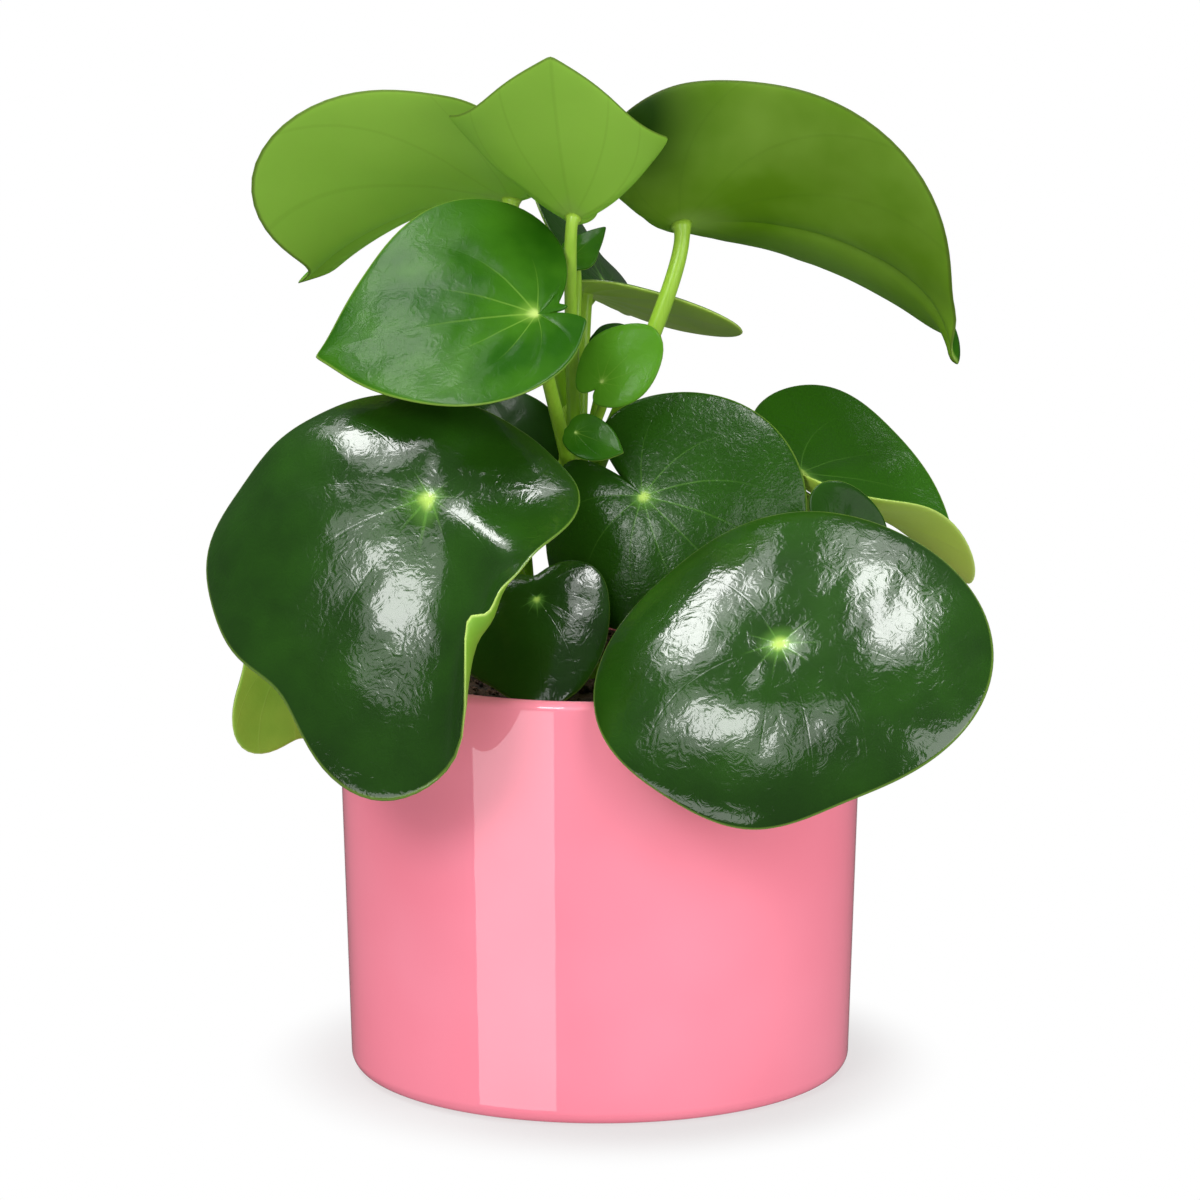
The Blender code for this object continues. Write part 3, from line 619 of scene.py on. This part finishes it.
def blade_nodes(tree, vein_width):
    """Nodes that read the blade's map: way out from the stalk, veins, margin and tone.

    The veins are found as in vein_distance: the angle to the nearest one times the share
    of the way out.
    """
    blade = add_node(tree, "Attribute", attribute_name="blade_map").outputs["Vector"]
    split = add_node(tree, "SeparateXYZ", {0: blade})
    flat = add_node(tree, "VectorMath", {0: blade, 1: (1, 1, 0)}, operation="MULTIPLY").outputs[0]
    out = add_node(tree, "VectorMath", {0: flat}, operation="LENGTH").outputs["Value"]
    turned = add_node(tree, "Math", {0: split.outputs["Y"], 1: split.outputs["X"]},
                      operation="ARCTAN2").outputs[0]
    turned = add_node(tree, "Math", {0: turned}, operation="ABSOLUTE").outputs[0]
    squared = add_node(tree, "Math", {0: out, 1: out}, operation="MULTIPLY").outputs[0]
    nearest = None
    for angle, bend in VEINS:
        path = add_node(tree, "Math", {0: squared, 1: -radians(angle) * bend, 2: radians(angle)},
                        operation="MULTIPLY_ADD").outputs[0]
        gap = add_node(tree, "Math", {0: turned, 1: path}, operation="SUBTRACT").outputs[0]
        gap = add_node(tree, "Math", {0: gap}, operation="ABSOLUTE").outputs[0]
        nearest = gap if nearest is None else add_node(
            tree, "Math", {0: nearest, 1: gap}, operation="MINIMUM").outputs[0]
    near = add_node(tree, "Math", {0: nearest, 1: out}, operation="MULTIPLY").outputs[0]
    vein = add_node(tree, "MapRange", {"Value": near, "From Min": vein_width * 0.2,
                                       "From Max": vein_width, "To Min": 1.0, "To Max": 0.0},
                    interpolation_type="SMOOTHSTEP").outputs[0]
    margin = add_node(tree, "MapRange", {"Value": out, "From Min": 0.984, "From Max": 0.994,
                                         "To Max": 0.7}).outputs[0]
    return out, vein, margin, split.outputs["Z"]


def let_light_through(tree, shader, colour, share):
    """Mixes in light that comes through the thin blade from its other side."""
    through = add_node(tree, "BsdfTranslucent", {"Color": colour})
    mixed = add_node(tree, "MixShader", {0: share, 1: shader.outputs[0], 2: through.outputs[0]})
    fill(tree.nodes["Material Output"], {"Surface": mixed.outputs[0]})


def tint(tree, first, *layers):
    """Lays colours over a first one, each as a factor and the colour's hex digits."""
    for factor, code in layers:
        first = add_node(tree, "MixRGB", {0: factor, 1: first, 2: linear(code)}).outputs[0]
    return first


def leaf_upper_material(name, deep, light, vein, spot, margin, wax, wrinkle_gap,
                        wrinkle_height, vein_reach, through=0.0):
    """Living leaf, upper side: green tissue, under a thick clear skin of wax once mature.

    The wax gives wet-looking highlights that break up over fine wrinkles. The place of
    the stalk shows through as a pale spot from which paler veins run out and fade.
    """
    material, tree, shader = new_material(name)
    place = add_node(tree, "TexCoord").outputs["Object"]
    out, line, rim, tone = blade_nodes(tree, 0.008)
    fade = add_node(tree, "MapRange", {"Value": out, "From Min": 0.05, "From Max": vein_reach,
                                       "To Min": 0.45, "To Max": 0.0}).outputs[0]
    pale_vein = add_node(tree, "Math", {0: line, 1: fade}, operation="MULTIPLY").outputs[0]
    # The spot over the stalk, and a softer ring round it
    halo = add_node(tree, "MapRange", {"Value": out, "From Min": 0.02, "From Max": 0.14,
                                       "To Min": 0.65, "To Max": 0.0},
                    interpolation_type="SMOOTHSTEP").outputs[0]
    core = add_node(tree, "MapRange", {"Value": out, "From Min": 0.01, "From Max": 0.065,
                                       "To Min": 1.0, "To Max": 0.0},
                    interpolation_type="SMOOTHSTEP").outputs[0]
    # Paler and deeper patches about 20 mm across
    patch = add_node(tree, "TexNoise", {"Vector": place, "Scale": 1 / 0.02, "Detail": 3.0})
    patch = add_node(tree, "MapRange", {"Value": patch.outputs[0], "From Min": 0.35,
                                        "From Max": 0.7, "To Max": 0.3}).outputs[0]
    colour = tint(tree, deep, (patch, light), (tone, light), (halo, vein), (pale_vein, vein),
                  (core, spot), (rim, margin))
    # Wrinkles a few millimetres apart with finer ones between them, and sunken veins
    wrinkle = add_node(tree, "TexNoise", {"Vector": place, "Scale": 1 / wrinkle_gap,
                                          "Detail": 3.0, "Distortion": 1.8}).outputs[0]
    height = add_node(tree, "Math", {0: line, 1: -0.12, 2: wrinkle}, operation="MULTIPLY_ADD")
    bump = add_node(tree, "Bump", {"Height": height.outputs[0], "Strength": 1.0,
                                   "Distance": wrinkle_height}).outputs[0]
    fill(shader, {"Base Color": colour, "Normal": bump, "Coat Normal": bump, "Roughness": 0.3,
                  "IOR": 1.45, "Specular IOR Level": 0.1, "Coat Weight": wax,
                  "Coat Roughness": 0.08, "Coat IOR": 1.5})
    if through:
        let_light_through(tree, shader, colour, through)
    return material


def leaf_under_material(name, deep, light, vein, foot, margin, through=0.0):
    """Living leaf, underside: paler, duller tissue with a midrib and main veins just showing.

    Light from above comes through a young one, which makes it glow, and a painted shade
    darkens it where its tone is below zero.
    """
    material, tree, shader = new_material(name)
    place = add_node(tree, "TexCoord").outputs["Object"]
    out, line, rim, tone = blade_nodes(tree, 0.014)
    faint = add_node(tree, "Math", {0: line, 1: 0.09}, operation="MULTIPLY").outputs[0]
    # Painted shade where the tone is below zero
    shade = add_node(tree, "MapRange", {"Value": tone, "From Max": -1.0}).outputs[0]
    root = add_node(tree, "MapRange", {"Value": out, "From Min": 0.04, "From Max": 0.2,
                                       "To Min": 0.6, "To Max": 0.0},
                    interpolation_type="SMOOTHSTEP").outputs[0]
    # Paler and deeper patches about 25 mm across
    patch = add_node(tree, "TexNoise", {"Vector": place, "Scale": 1 / 0.025, "Detail": 3.0})
    patch = add_node(tree, "MapRange", {"Value": patch.outputs[0], "From Min": 0.35,
                                        "From Max": 0.7, "To Max": 0.45}).outputs[0]
    colour = tint(tree, linear(deep), (patch, light), (tone, light), (faint, vein),
                  (root, foot), (shade, PAINTED_SHADE_GREEN), (rim, margin))
    # Pores and cell groups, a grain of about 1 mm, and raised veins
    grain = add_node(tree, "TexNoise", {"Vector": place, "Scale": 1 / 0.0012, "Detail": 2.0})
    height = add_node(tree, "Math", {0: line, 1: 0.6, 2: grain.outputs[0]},
                      operation="MULTIPLY_ADD")
    bump = add_node(tree, "Bump", {"Height": height.outputs[0], "Strength": 0.5,
                                   "Distance": 0.0001})
    fill(shader, {"Base Color": colour, "Normal": bump.outputs[0], "Roughness": 0.5, "IOR": 1.4})
    if through:
        let_light_through(tree, shader, colour, through)
    return material


def stalk_material(settings):
    """Fleshy stalk: smooth, watery tissue, palest near the blade and green at the foot."""
    material, tree, shader = new_material("fleshy_leaf_stalk")
    place = add_node(tree, "TexCoord").outputs["Object"]
    along = add_node(tree, "Attribute", attribute_name="stalk_map").outputs["Vector"]
    along = add_node(tree, "SeparateXYZ", {0: along}).outputs["X"]
    foot, top = (*settings.foot_colour, 1.0), (*settings.top_colour, 1.0)
    # Lengthwise streaks about 1 mm wide and 20 mm long: noise drawn out along the height
    squeeze = add_node(tree, "Mapping", {"Vector": place,
                                         "Scale": (1 / 0.0012, 1 / 0.0012, 1 / 0.02)})
    streak = add_node(tree, "TexNoise", {"Vector": squeeze.outputs[0], "Scale": 1.0,
                                         "Detail": 2.0}).outputs[0]
    dark = add_node(tree, "MapRange", {"Value": streak, "From Min": 0.4, "From Max": 0.7,
                                       "To Max": 0.35}).outputs[0]
    colour = add_node(tree, "MixRGB", {0: along, 1: foot, 2: top}).outputs[0]
    colour = add_node(tree, "MixRGB", {0: dark, 1: colour, 2: foot}).outputs[0]
    bump = add_node(tree, "Bump", {"Height": streak, "Strength": 0.5, "Distance": 0.0002})
    fill(shader, {"Base Color": colour, "Normal": bump.outputs[0], "Roughness": 0.3, "IOR": 1.4})
    return material


def glaze_material(settings):
    """Glazed earthenware: fired pink glaze, glossy, with the faint ripple of a dipped coat."""
    material, tree, shader = new_material("pink_glazed_earthenware")
    place = add_node(tree, "TexCoord").outputs["Object"]
    # Patches of thicker and thinner coat about 50 mm across, and ripples 12 mm apart
    cloud = add_node(tree, "TexNoise", {"Vector": place, "Scale": 1 / 0.05, "Detail": 2.0})
    cloud = add_node(tree, "MapRange", {"Value": cloud.outputs[0], "From Min": 0.3,
                                        "From Max": 0.7}).outputs[0]
    colour = add_node(tree, "MixRGB", {0: cloud, 1: (*settings.glaze_deep, 1.0),
                                       2: (*settings.glaze, 1.0)}).outputs[0]
    ripple = add_node(tree, "TexNoise", {"Vector": place, "Scale": 1 / 0.012, "Detail": 1.0})
    bump = add_node(tree, "Bump", {"Height": ripple.outputs[0], "Strength": 0.1,
                                   "Distance": 0.0003})
    fill(shader, {"Base Color": colour, "Normal": bump.outputs[0], "Roughness": 0.03, "IOR": 1.5})
    return material


def soil_material():
    """Moist potting mix: dark crumbs of peat and bark, dull, in browns that vary by crumb."""
    material, tree, shader = new_material("moist_potting_mix")
    place = add_node(tree, "TexCoord").outputs["Object"]
    # Crumbs about 2 mm across, with a grit of just under 1 mm
    crumb = add_node(tree, "TexVoronoi", {"Vector": place, "Scale": 1 / 0.0022})
    tone = add_node(tree, "SeparateColor", {0: crumb.outputs["Color"]}).outputs[0]
    colour = tint(tree, linear("1C120B"), (tone, "4A3322"))
    grit = add_node(tree, "TexNoise", {"Vector": place, "Scale": 1 / 0.0008, "Detail": 4.0})
    bump = add_node(tree, "Bump", {"Height": grit.outputs[0], "Strength": 1.0,
                                   "Distance": 0.0006})
    fill(shader, {"Base Color": colour, "Normal": bump.outputs[0], "Roughness": 0.9})
    return material


def arc(centre, radius, start, end, steps):
    """Points of an arc as (distance from the axis, height): centre + radius (cos a, sin a)."""
    turn = np.radians(np.linspace(start, end, steps + 1))
    return np.stack([centre[0] + radius * np.cos(turn), centre[1] + radius * np.sin(turn)], -1)


def turned_rows(profile, sides):
    """A profile spun round the Z axis: (r cos a, r sin a, z)."""
    turn = np.linspace(0, 2 * pi, sides, endpoint=False)
    radius, height = profile[:, 0, None], profile[:, 1, None]
    return np.stack([radius * np.cos(turn), radius * np.sin(turn), height + 0 * turn], -1)


def dense(profile, gap):
    """A profile with points added along its length at every gap."""
    run = np.concatenate([[0], np.cumsum(np.linalg.norm(np.diff(profile, axis=0), axis=1))])
    places = np.union1d(run, np.arange(gap, run[-1], gap))
    return np.stack([np.interp(places, run, profile[:, k]) for k in (0, 1)], -1)


def soil_height(x, y):
    """Height of the uneven soil: clods about 13 mm apart with lumps 4 mm apart on them."""
    return SOIL_TOP + 0.0011 * soft_noise(x, y, 0.013, 7) + 0.0007 * soft_noise(x, y, 0.004, 8)


def crumb_ball():
    """Corners and outward faces of a ball with twelve corners and a radius of about one.

    Its corners are (0, +-1, +-g), g the golden ratio, and the two turns of these, scaled
    down, and each three of them that are neighbours make a face.
    """
    golden = (1 + 5 ** 0.5) / 2
    ball = np.array([(0, a, b * golden) for a in (-1, 1) for b in (-1, 1)], float)
    ball = np.vstack([ball, ball[:, [2, 0, 1]], ball[:, [1, 2, 0]]]) / 1.9
    gap = np.linalg.norm(ball[:, None] - ball[None], axis=-1)
    neighbour_gap = 1.2
    faces = np.array([(i, j, k) for i, j, k in combinations(range(len(ball)), 3)
                      if max(gap[i, j], gap[j, k], gap[i, k]) < neighbour_gap])
    a, b, c = ball[faces].transpose(1, 0, 2)
    inwards = np.sum(np.cross(b - a, c - a) * a, axis=1) < 0
    faces[inwards] = faces[inwards][:, [0, 2, 1]]
    return ball, faces


def make_crumbs(soil, radius, material):
    """Loose crumbs: a squashed, roughened and turned ball each, spread evenly over a disc."""
    draw = np.random.default_rng(21)
    ball, faces = crumb_ball()
    count = soil.crumbs
    # Most crumbs are small, and each sits a little above the ground
    size = soil.crumb_size * draw.uniform(0.25, 1, count) ** 1.6
    shape = ball[None] * (size[:, None] * draw.uniform(0.5, 1, (count, 3)))[:, None]
    shape = shape * draw.uniform(0.8, 1.2, (count, len(ball), 1))
    turn = np.linalg.qr(draw.normal(size=(count, 3, 3)))[0]
    turn *= np.sign(np.linalg.det(turn))[:, None, None]
    away = radius * np.sqrt(draw.uniform(0.003, 1, count))
    heading = draw.uniform(0, 2 * pi, count)
    x, y = away * np.cos(heading), away * np.sin(heading)
    middle = np.stack([x, y, soil_height(x, y) + size * 0.2], -1)
    points = shape @ turn.transpose(0, 2, 1) + middle[:, None]
    faces = faces[None] + len(ball) * np.arange(count)[:, None, None]
    mesh = bpy.data.meshes.new("soil_crumbs")
    mesh.from_pydata(points.reshape(-1, 3), [], faces.reshape(-1, 3).tolist())
    mesh.materials.append(material)
    place_piece("soil_crumbs", mesh, [])


class PotSettings(bpy.types.PropertyGroup):
    rim_radius: FloatProperty(
        name="Rim radius", description="Outside radius at the rim",
        default=POT_HIGH.x, unit="LENGTH")
    base_radius: FloatProperty(
        name="Base radius", description="Outside radius just above the foot",
        default=0.0668, unit="LENGTH")
    height: FloatProperty(
        name="Height", description="From the base to the top of the lip",
        default=POT_HIGH.z, unit="LENGTH")
    wall: FloatProperty(
        name="Wall", description="Thickness of the wall", default=0.0045, unit="LENGTH")
    floor: FloatProperty(
        name="Floor", description="Thickness of the base", default=0.006, unit="LENGTH")
    glaze: FloatVectorProperty(
        name="Glaze", description="Colour of the glaze where it is thin",
        default=linear("F88FA3")[:3], subtype="COLOR", min=0, max=1)
    glaze_deep: FloatVectorProperty(
        name="Deep glaze", description="Colour where the glaze is thick",
        default=linear("F5869A")[:3], subtype="COLOR", min=0, max=1)


class SoilSettings(bpy.types.PropertyGroup):
    crumbs: IntProperty(
        name="Crumbs", description="Number of loose crumbs on the soil", default=900, min=0)
    crumb_size: FloatProperty(
        name="Crumb size", description="Radius of the largest crumb",
        default=0.0022, unit="LENGTH")


class LeafSettings(bpy.types.PropertyGroup):
    thickness: FloatProperty(
        name="Thickness", description="Thickness of a blade", default=0.0011, unit="LENGTH")
    vein_depth: FloatProperty(
        name="Vein depth", description="How far a blade sinks along a full-depth vein",
        default=0.0006, unit="LENGTH")
    swell: FloatProperty(
        name="Swelling", description="How far the blade swells between the veins",
        default=0.0003, unit="LENGTH")
    mature: FloatVectorProperty(
        name="Mature leaf", description="Deepest green of an old leaf",
        default=linear("163508")[:3], subtype="COLOR", min=0, max=1)
    young: FloatVectorProperty(
        name="Young leaf", description="Deepest green of a young leaf",
        default=linear("235808")[:3], subtype="COLOR", min=0, max=1)


class StalkSettings(bpy.types.PropertyGroup):
    foot_radius: FloatProperty(
        name="Foot radius", description="At the shoot, for a leaf 65 mm long",
        default=0.0023, unit="LENGTH")
    top_radius: FloatProperty(
        name="Top radius", description="At the blade, for a leaf 65 mm long",
        default=0.0018, unit="LENGTH")
    foot_colour: FloatVectorProperty(
        name="Foot colour", description="Green of a stalk at the shoot",
        default=linear("6CA010")[:3], subtype="COLOR", min=0, max=1)
    top_colour: FloatVectorProperty(
        name="Top colour", description="Green of a stalk at the blade",
        default=linear("98BE40")[:3], subtype="COLOR", min=0, max=1)


class StageSettings(bpy.types.PropertyGroup):
    lens: FloatProperty(
        name="Lens", description="Focal length of the camera, in mm", default=205.35)
    distance: FloatProperty(
        name="Distance", description="From the camera to the point it looks at",
        default=1.82, unit="LENGTH")
    elevation: FloatProperty(
        name="Elevation", description="How far the camera looks down",
        default=radians(11.4), subtype="ANGLE")
    look_height: FloatProperty(
        name="Look height", description="Height of the point it looks at",
        default=0.1263, unit="LENGTH")


class PEPEROMIA_OT_pot(bpy.types.Operator):
    """Builds the glazed pot"""
    bl_idname = "peperomia.pot"
    bl_label = "Glazed pot"

    def execute(self, context):
        pot = context.scene.peperomia_pot
        foot_round, inner_round, lip, middle = 0.004, 0.008, pot.wall / 2, 0.02
        inner_base = pot.base_radius - pot.wall
        profile = np.vstack([
            [[middle, 0]],
            arc((pot.base_radius - foot_round, foot_round), foot_round, -90, 0, 12),
            arc((pot.rim_radius - lip, pot.height - lip), lip, 0, 180, 20),
            arc((inner_base - inner_round, pot.floor + inner_round), inner_round, 0, -90, 10),
            [[middle, pot.floor]]])
        rows = turned_rows(dense(profile, gap=0.006), sides=192)
        mesh = closed_shell("pot", rows, (0, 0, 0), (0, 0, pot.floor), [glaze_material(pot)])
        place_piece("pot_glazed", mesh, ["pot"])
        return {"FINISHED"}


class PEPEROMIA_OT_soil(bpy.types.Operator):
    """Builds the soil and its loose crumbs"""
    bl_idname = "peperomia.soil"
    bl_label = "Potting soil"

    def execute(self, context):
        material = soil_material()
        edge, taper, drop, middle, rings = SOIL_HIGH.x, 0.0028, 0.003, 0.0004, 90
        bare_border = 0.003
        side = dense(np.array([[0.01, SOIL_LOW.z], [edge - taper, SOIL_LOW.z],
                               [edge, SOIL_HIGH.z - drop]]), gap=0.006)
        top = np.stack([np.linspace(edge, middle, rings), np.full(rings, SOIL_TOP)], -1)
        rows = turned_rows(np.vstack([side, top]), sides=200)
        rows[len(side):, :, 2] = soil_height(rows[..., 0], rows[..., 1])[len(side):]
        mesh = closed_shell("soil", rows, (0, 0, SOIL_LOW.z), rows[-1].mean(0), [material])
        place_piece("soil_bed", mesh, ["soil"])
        make_crumbs(context.scene.peperomia_soil, edge - bare_border, material)
        return {"FINISHED"}


class PEPEROMIA_OT_shoots(bpy.types.Operator):
    """Builds the three shoots and all leaf stalks"""
    bl_idname = "peperomia.shoots"
    bl_label = "Shoots and stalks"

    def execute(self, context):
        settings = context.scene.peperomia_stalks
        material = stalk_material(settings)
        for name, shoot in SHOOTS.items():
            make_shoot(name, shoot, settings, material)
        return {"FINISHED"}


def leaf_materials(settings, name):
    """Underside and upper side of a leaf, each made once for all leaves of its kind."""
    if name in YOUNG_LEAVES:
        under_name, upper_name = "young_leaf_underside", "young_leaf_skin"
        deep = (*settings.young, 1.0)
    else:
        under_name, upper_name = "mature_leaf_underside", "waxy_leaf_skin"
        deep = (*settings.mature, 1.0)
    if name in SATIN_LEAVES:
        upper_name = "satin_leaf_skin"
    if name in DULL_LEAVES:
        upper_name = "dull_leaf_skin"
    made = bpy.data.materials
    under = made.get(under_name) or leaf_under_material(under_name, **UNDERSIDES[under_name])
    upper = made.get(upper_name) or leaf_upper_material(upper_name, deep, **SKINS[upper_name])
    return [under, upper]


def make_leaves(context, names):
    """The blades of the given names, each with its own seed for its unevenness."""
    settings = context.scene.peperomia_leaves
    order = list(LEAVES)
    for name in names:
        make_blade(name, LEAVES[name], settings, leaf_materials(settings, name),
                   seed=100 + order.index(name))


class PEPEROMIA_OT_upper_leaves(bpy.types.Operator):
    """Builds the upper and the young leaves"""
    bl_idname = "peperomia.upper_leaves"
    bl_label = "Upper leaves"

    def execute(self, context):
        make_leaves(context, UPPER_LEAVES)
        return {"FINISHED"}


class PEPEROMIA_OT_front_leaves(bpy.types.Operator):
    """Builds the mature leaves at the front and the sides"""
    bl_idname = "peperomia.front_leaves"
    bl_label = "Front leaves"

    def execute(self, context):
        make_leaves(context, FRONT_LEAVES)
        return {"FINISHED"}


class PEPEROMIA_OT_back_leaves(bpy.types.Operator):
    """Builds the mature leaves at the back"""
    bl_idname = "peperomia.back_leaves"
    bl_label = "Back leaves"

    def execute(self, context):
        make_leaves(context, BACK_LEAVES)
        return {"FINISHED"}


def make_floor(scene):
    """White paper that the studio light burns out.

    Round the pot, in an oval longer from front to back, it glows less, which is painted shade,
    and there it also catches the real shadows; further out it turns into the plain white of the
    background.
    """
    material, tree, shader = new_material("white_paper_sweep")
    place = add_node(tree, "TexCoord").outputs["Object"]
    # Painted shade: the paper glows less in an oval round the pot, longer from front to back
    oval = add_node(tree, "VectorMath", {0: place, 1: (1, 0.9, 1)}, operation="MULTIPLY")
    away = add_node(tree, "VectorMath", {0: oval.outputs[0]}, operation="LENGTH")
    far = add_node(tree, "MapRange", {"Value": away.outputs["Value"], "From Min": 0.064,
                                      "From Max": 0.096},
                   interpolation_type="SMOOTHSTEP").outputs[0]
    glow = add_node(tree, "MapRange", {"Value": far, "To Min": 0.64, "To Max": 1.0})
    fill(shader, {"Base Color": tint(tree, linear("707070"), (far, "000000")),
                  "Emission Strength": glow.outputs[0], "Emission Color": linear("FFFFFF"),
                  "Roughness": 1.0, "Specular IOR Level": 0.0})
    radius, height, sides = 3.0, -0.0003, 64
    ring = turned_rows(np.array([[radius, height]]), sides)[0]
    mesh = bpy.data.meshes.new("floor")
    mesh.from_pydata(ring, [], [list(range(sides))])
    mesh.materials.append(material)
    floor = bpy.data.objects.new("floor", mesh)
    floor.visible_glossy = False
    scene.collection.objects.link(floor)


# Softboxes, each but two with a brighter patch where its bulb is: place, point they face,
# width and height, brightness. The strip stands low at the left, where the glaze mirrors
# it as an upright band.
LIGHTS = {
    "strip_softbox": ((-0.74, -0.95, -0.31), (0, 0, -0.31), (0.8, 0.32), 3.0),
    "right_softbox": ((1.15, -1.35, 0.75), (0, 0, 0.12), (1.5, 1.1), 3.8),
    "front_softbox": ((-0.62, -1.28, 0.95), (0, -0.05, 0.15), (0.98, 1.0), 2.0),
    "front_bulb": ((-0.61, -1.27, 0.94), (0, -0.05, 0.15), (0.46, 0.46), 12.0),
    "top_right_softbox": ((0.3, -0.18, 1.4), (0.3, 0, 0.15), (0.42, 0.98), 3.5),
    "top_right_bulb": ((0.3, -0.18, 1.39), (0.3, 0, 0.15), (0.22, 0.5), 14.0),
    "top_left_softbox": ((-0.59, -0.08, 1.4), (-0.59, 0, 0.15), (0.64, 1.17), 3.5),
    "top_left_bulb": ((-0.59, -0.08, 1.39), (-0.59, 0, 0.15), (0.32, 0.6), 14.0),
}


def make_light(scene, name, place, target, size, brightness):
    """A rectangular lamp that faces a point; its power is brightness times pi times area."""
    light = bpy.data.lights.new(name, "AREA")
    light.shape = "RECTANGLE"
    light.size, light.size_y = size
    light.energy = brightness * pi * size[0] * size[1]
    lamp = bpy.data.objects.new(name, light)
    lamp.location = place
    facing = Vector(target) - Vector(place)
    lamp.rotation_euler = facing.to_track_quat("-Z", "Y").to_euler()
    scene.collection.objects.link(lamp)


class PEPEROMIA_OT_stage(bpy.types.Operator):
    """Builds the floor, the lights, the background and the camera"""
    bl_idname = "peperomia.stage"
    bl_label = "Stage"

    def execute(self, context):
        stage, scene = context.scene.peperomia_stage, context.scene
        make_floor(scene)
        for name, values in LIGHTS.items():
            make_light(scene, name, *values)

        # White where the camera sees it, and dim as a light
        world = bpy.data.worlds.new("white_studio")
        world.use_nodes = True
        tree = world.node_tree
        seen = add_node(tree, "LightPath").outputs["Is Camera Ray"]
        strength = add_node(tree, "MapRange", {"Value": seen, "To Min": 0.12, "To Max": 1.0})
        fill(tree.nodes["Background"], {"Color": linear("FFFFFF"),
                                        "Strength": strength.outputs[0]})
        scene.world = world
        scene.view_settings.view_transform = "Standard"

        lens = bpy.data.cameras.new("photo_camera")
        lens.sensor_width = 36
        lens.lens = stage.lens
        camera = bpy.data.objects.new("photo_camera", lens)
        camera.location = (0, -stage.distance * cos(stage.elevation),
                           stage.look_height + stage.distance * sin(stage.elevation))
        camera.rotation_euler = (pi / 2 - stage.elevation, 0, 0)
        scene.collection.objects.link(camera)
        scene.camera = camera
        return {"FINISHED"}


class PEPEROMIA_PT_panel(bpy.types.Panel):
    """Lists the pieces of the plant and their settings"""
    bl_idname = "PEPEROMIA_PT_panel"
    bl_label = "Potted peperomia"
    bl_space_type = "VIEW_3D"
    bl_region_type = "UI"
    bl_category = "Peperomia"

    def draw(self, context):
        for operator, settings in PIECES:
            column = self.layout.column()
            column.operator(operator.bl_idname)
            group = getattr(context.scene, settings, None)
            for name in group.__annotations__ if group else ():
                column.prop(group, name)


SETTINGS = {
    "peperomia_pot": PotSettings,
    "peperomia_soil": SoilSettings,
    "peperomia_stalks": StalkSettings,
    "peperomia_leaves": LeafSettings,
    "peperomia_stage": StageSettings,
}
PIECES = (
    (PEPEROMIA_OT_pot, "peperomia_pot"),
    (PEPEROMIA_OT_soil, "peperomia_soil"),
    (PEPEROMIA_OT_shoots, "peperomia_stalks"),
    (PEPEROMIA_OT_upper_leaves, "peperomia_leaves"),
    (PEPEROMIA_OT_front_leaves, ""),
    (PEPEROMIA_OT_back_leaves, ""),
    (PEPEROMIA_OT_stage, "peperomia_stage"),
)


def register():
    for name, group in SETTINGS.items():
        bpy.utils.register_class(group)
        setattr(bpy.types.Scene, name, PointerProperty(type=group))
    for operator, settings in PIECES:
        bpy.utils.register_class(operator)
    bpy.utils.register_class(PEPEROMIA_PT_panel)


def unregister():
    bpy.utils.unregister_class(PEPEROMIA_PT_panel)
    for operator, settings in reversed(PIECES):
        bpy.utils.unregister_class(operator)
    for name, group in SETTINGS.items():
        delattr(bpy.types.Scene, name)
        bpy.utils.unregister_class(group)


def main():
    register()
    bpy.ops.peperomia.pot()
    bpy.ops.peperomia.soil()
    bpy.ops.peperomia.shoots()
    bpy.ops.peperomia.upper_leaves()
    bpy.ops.peperomia.front_leaves()
    bpy.ops.peperomia.back_leaves()
    bpy.ops.peperomia.stage()


if __name__ == "__main__":
    main()
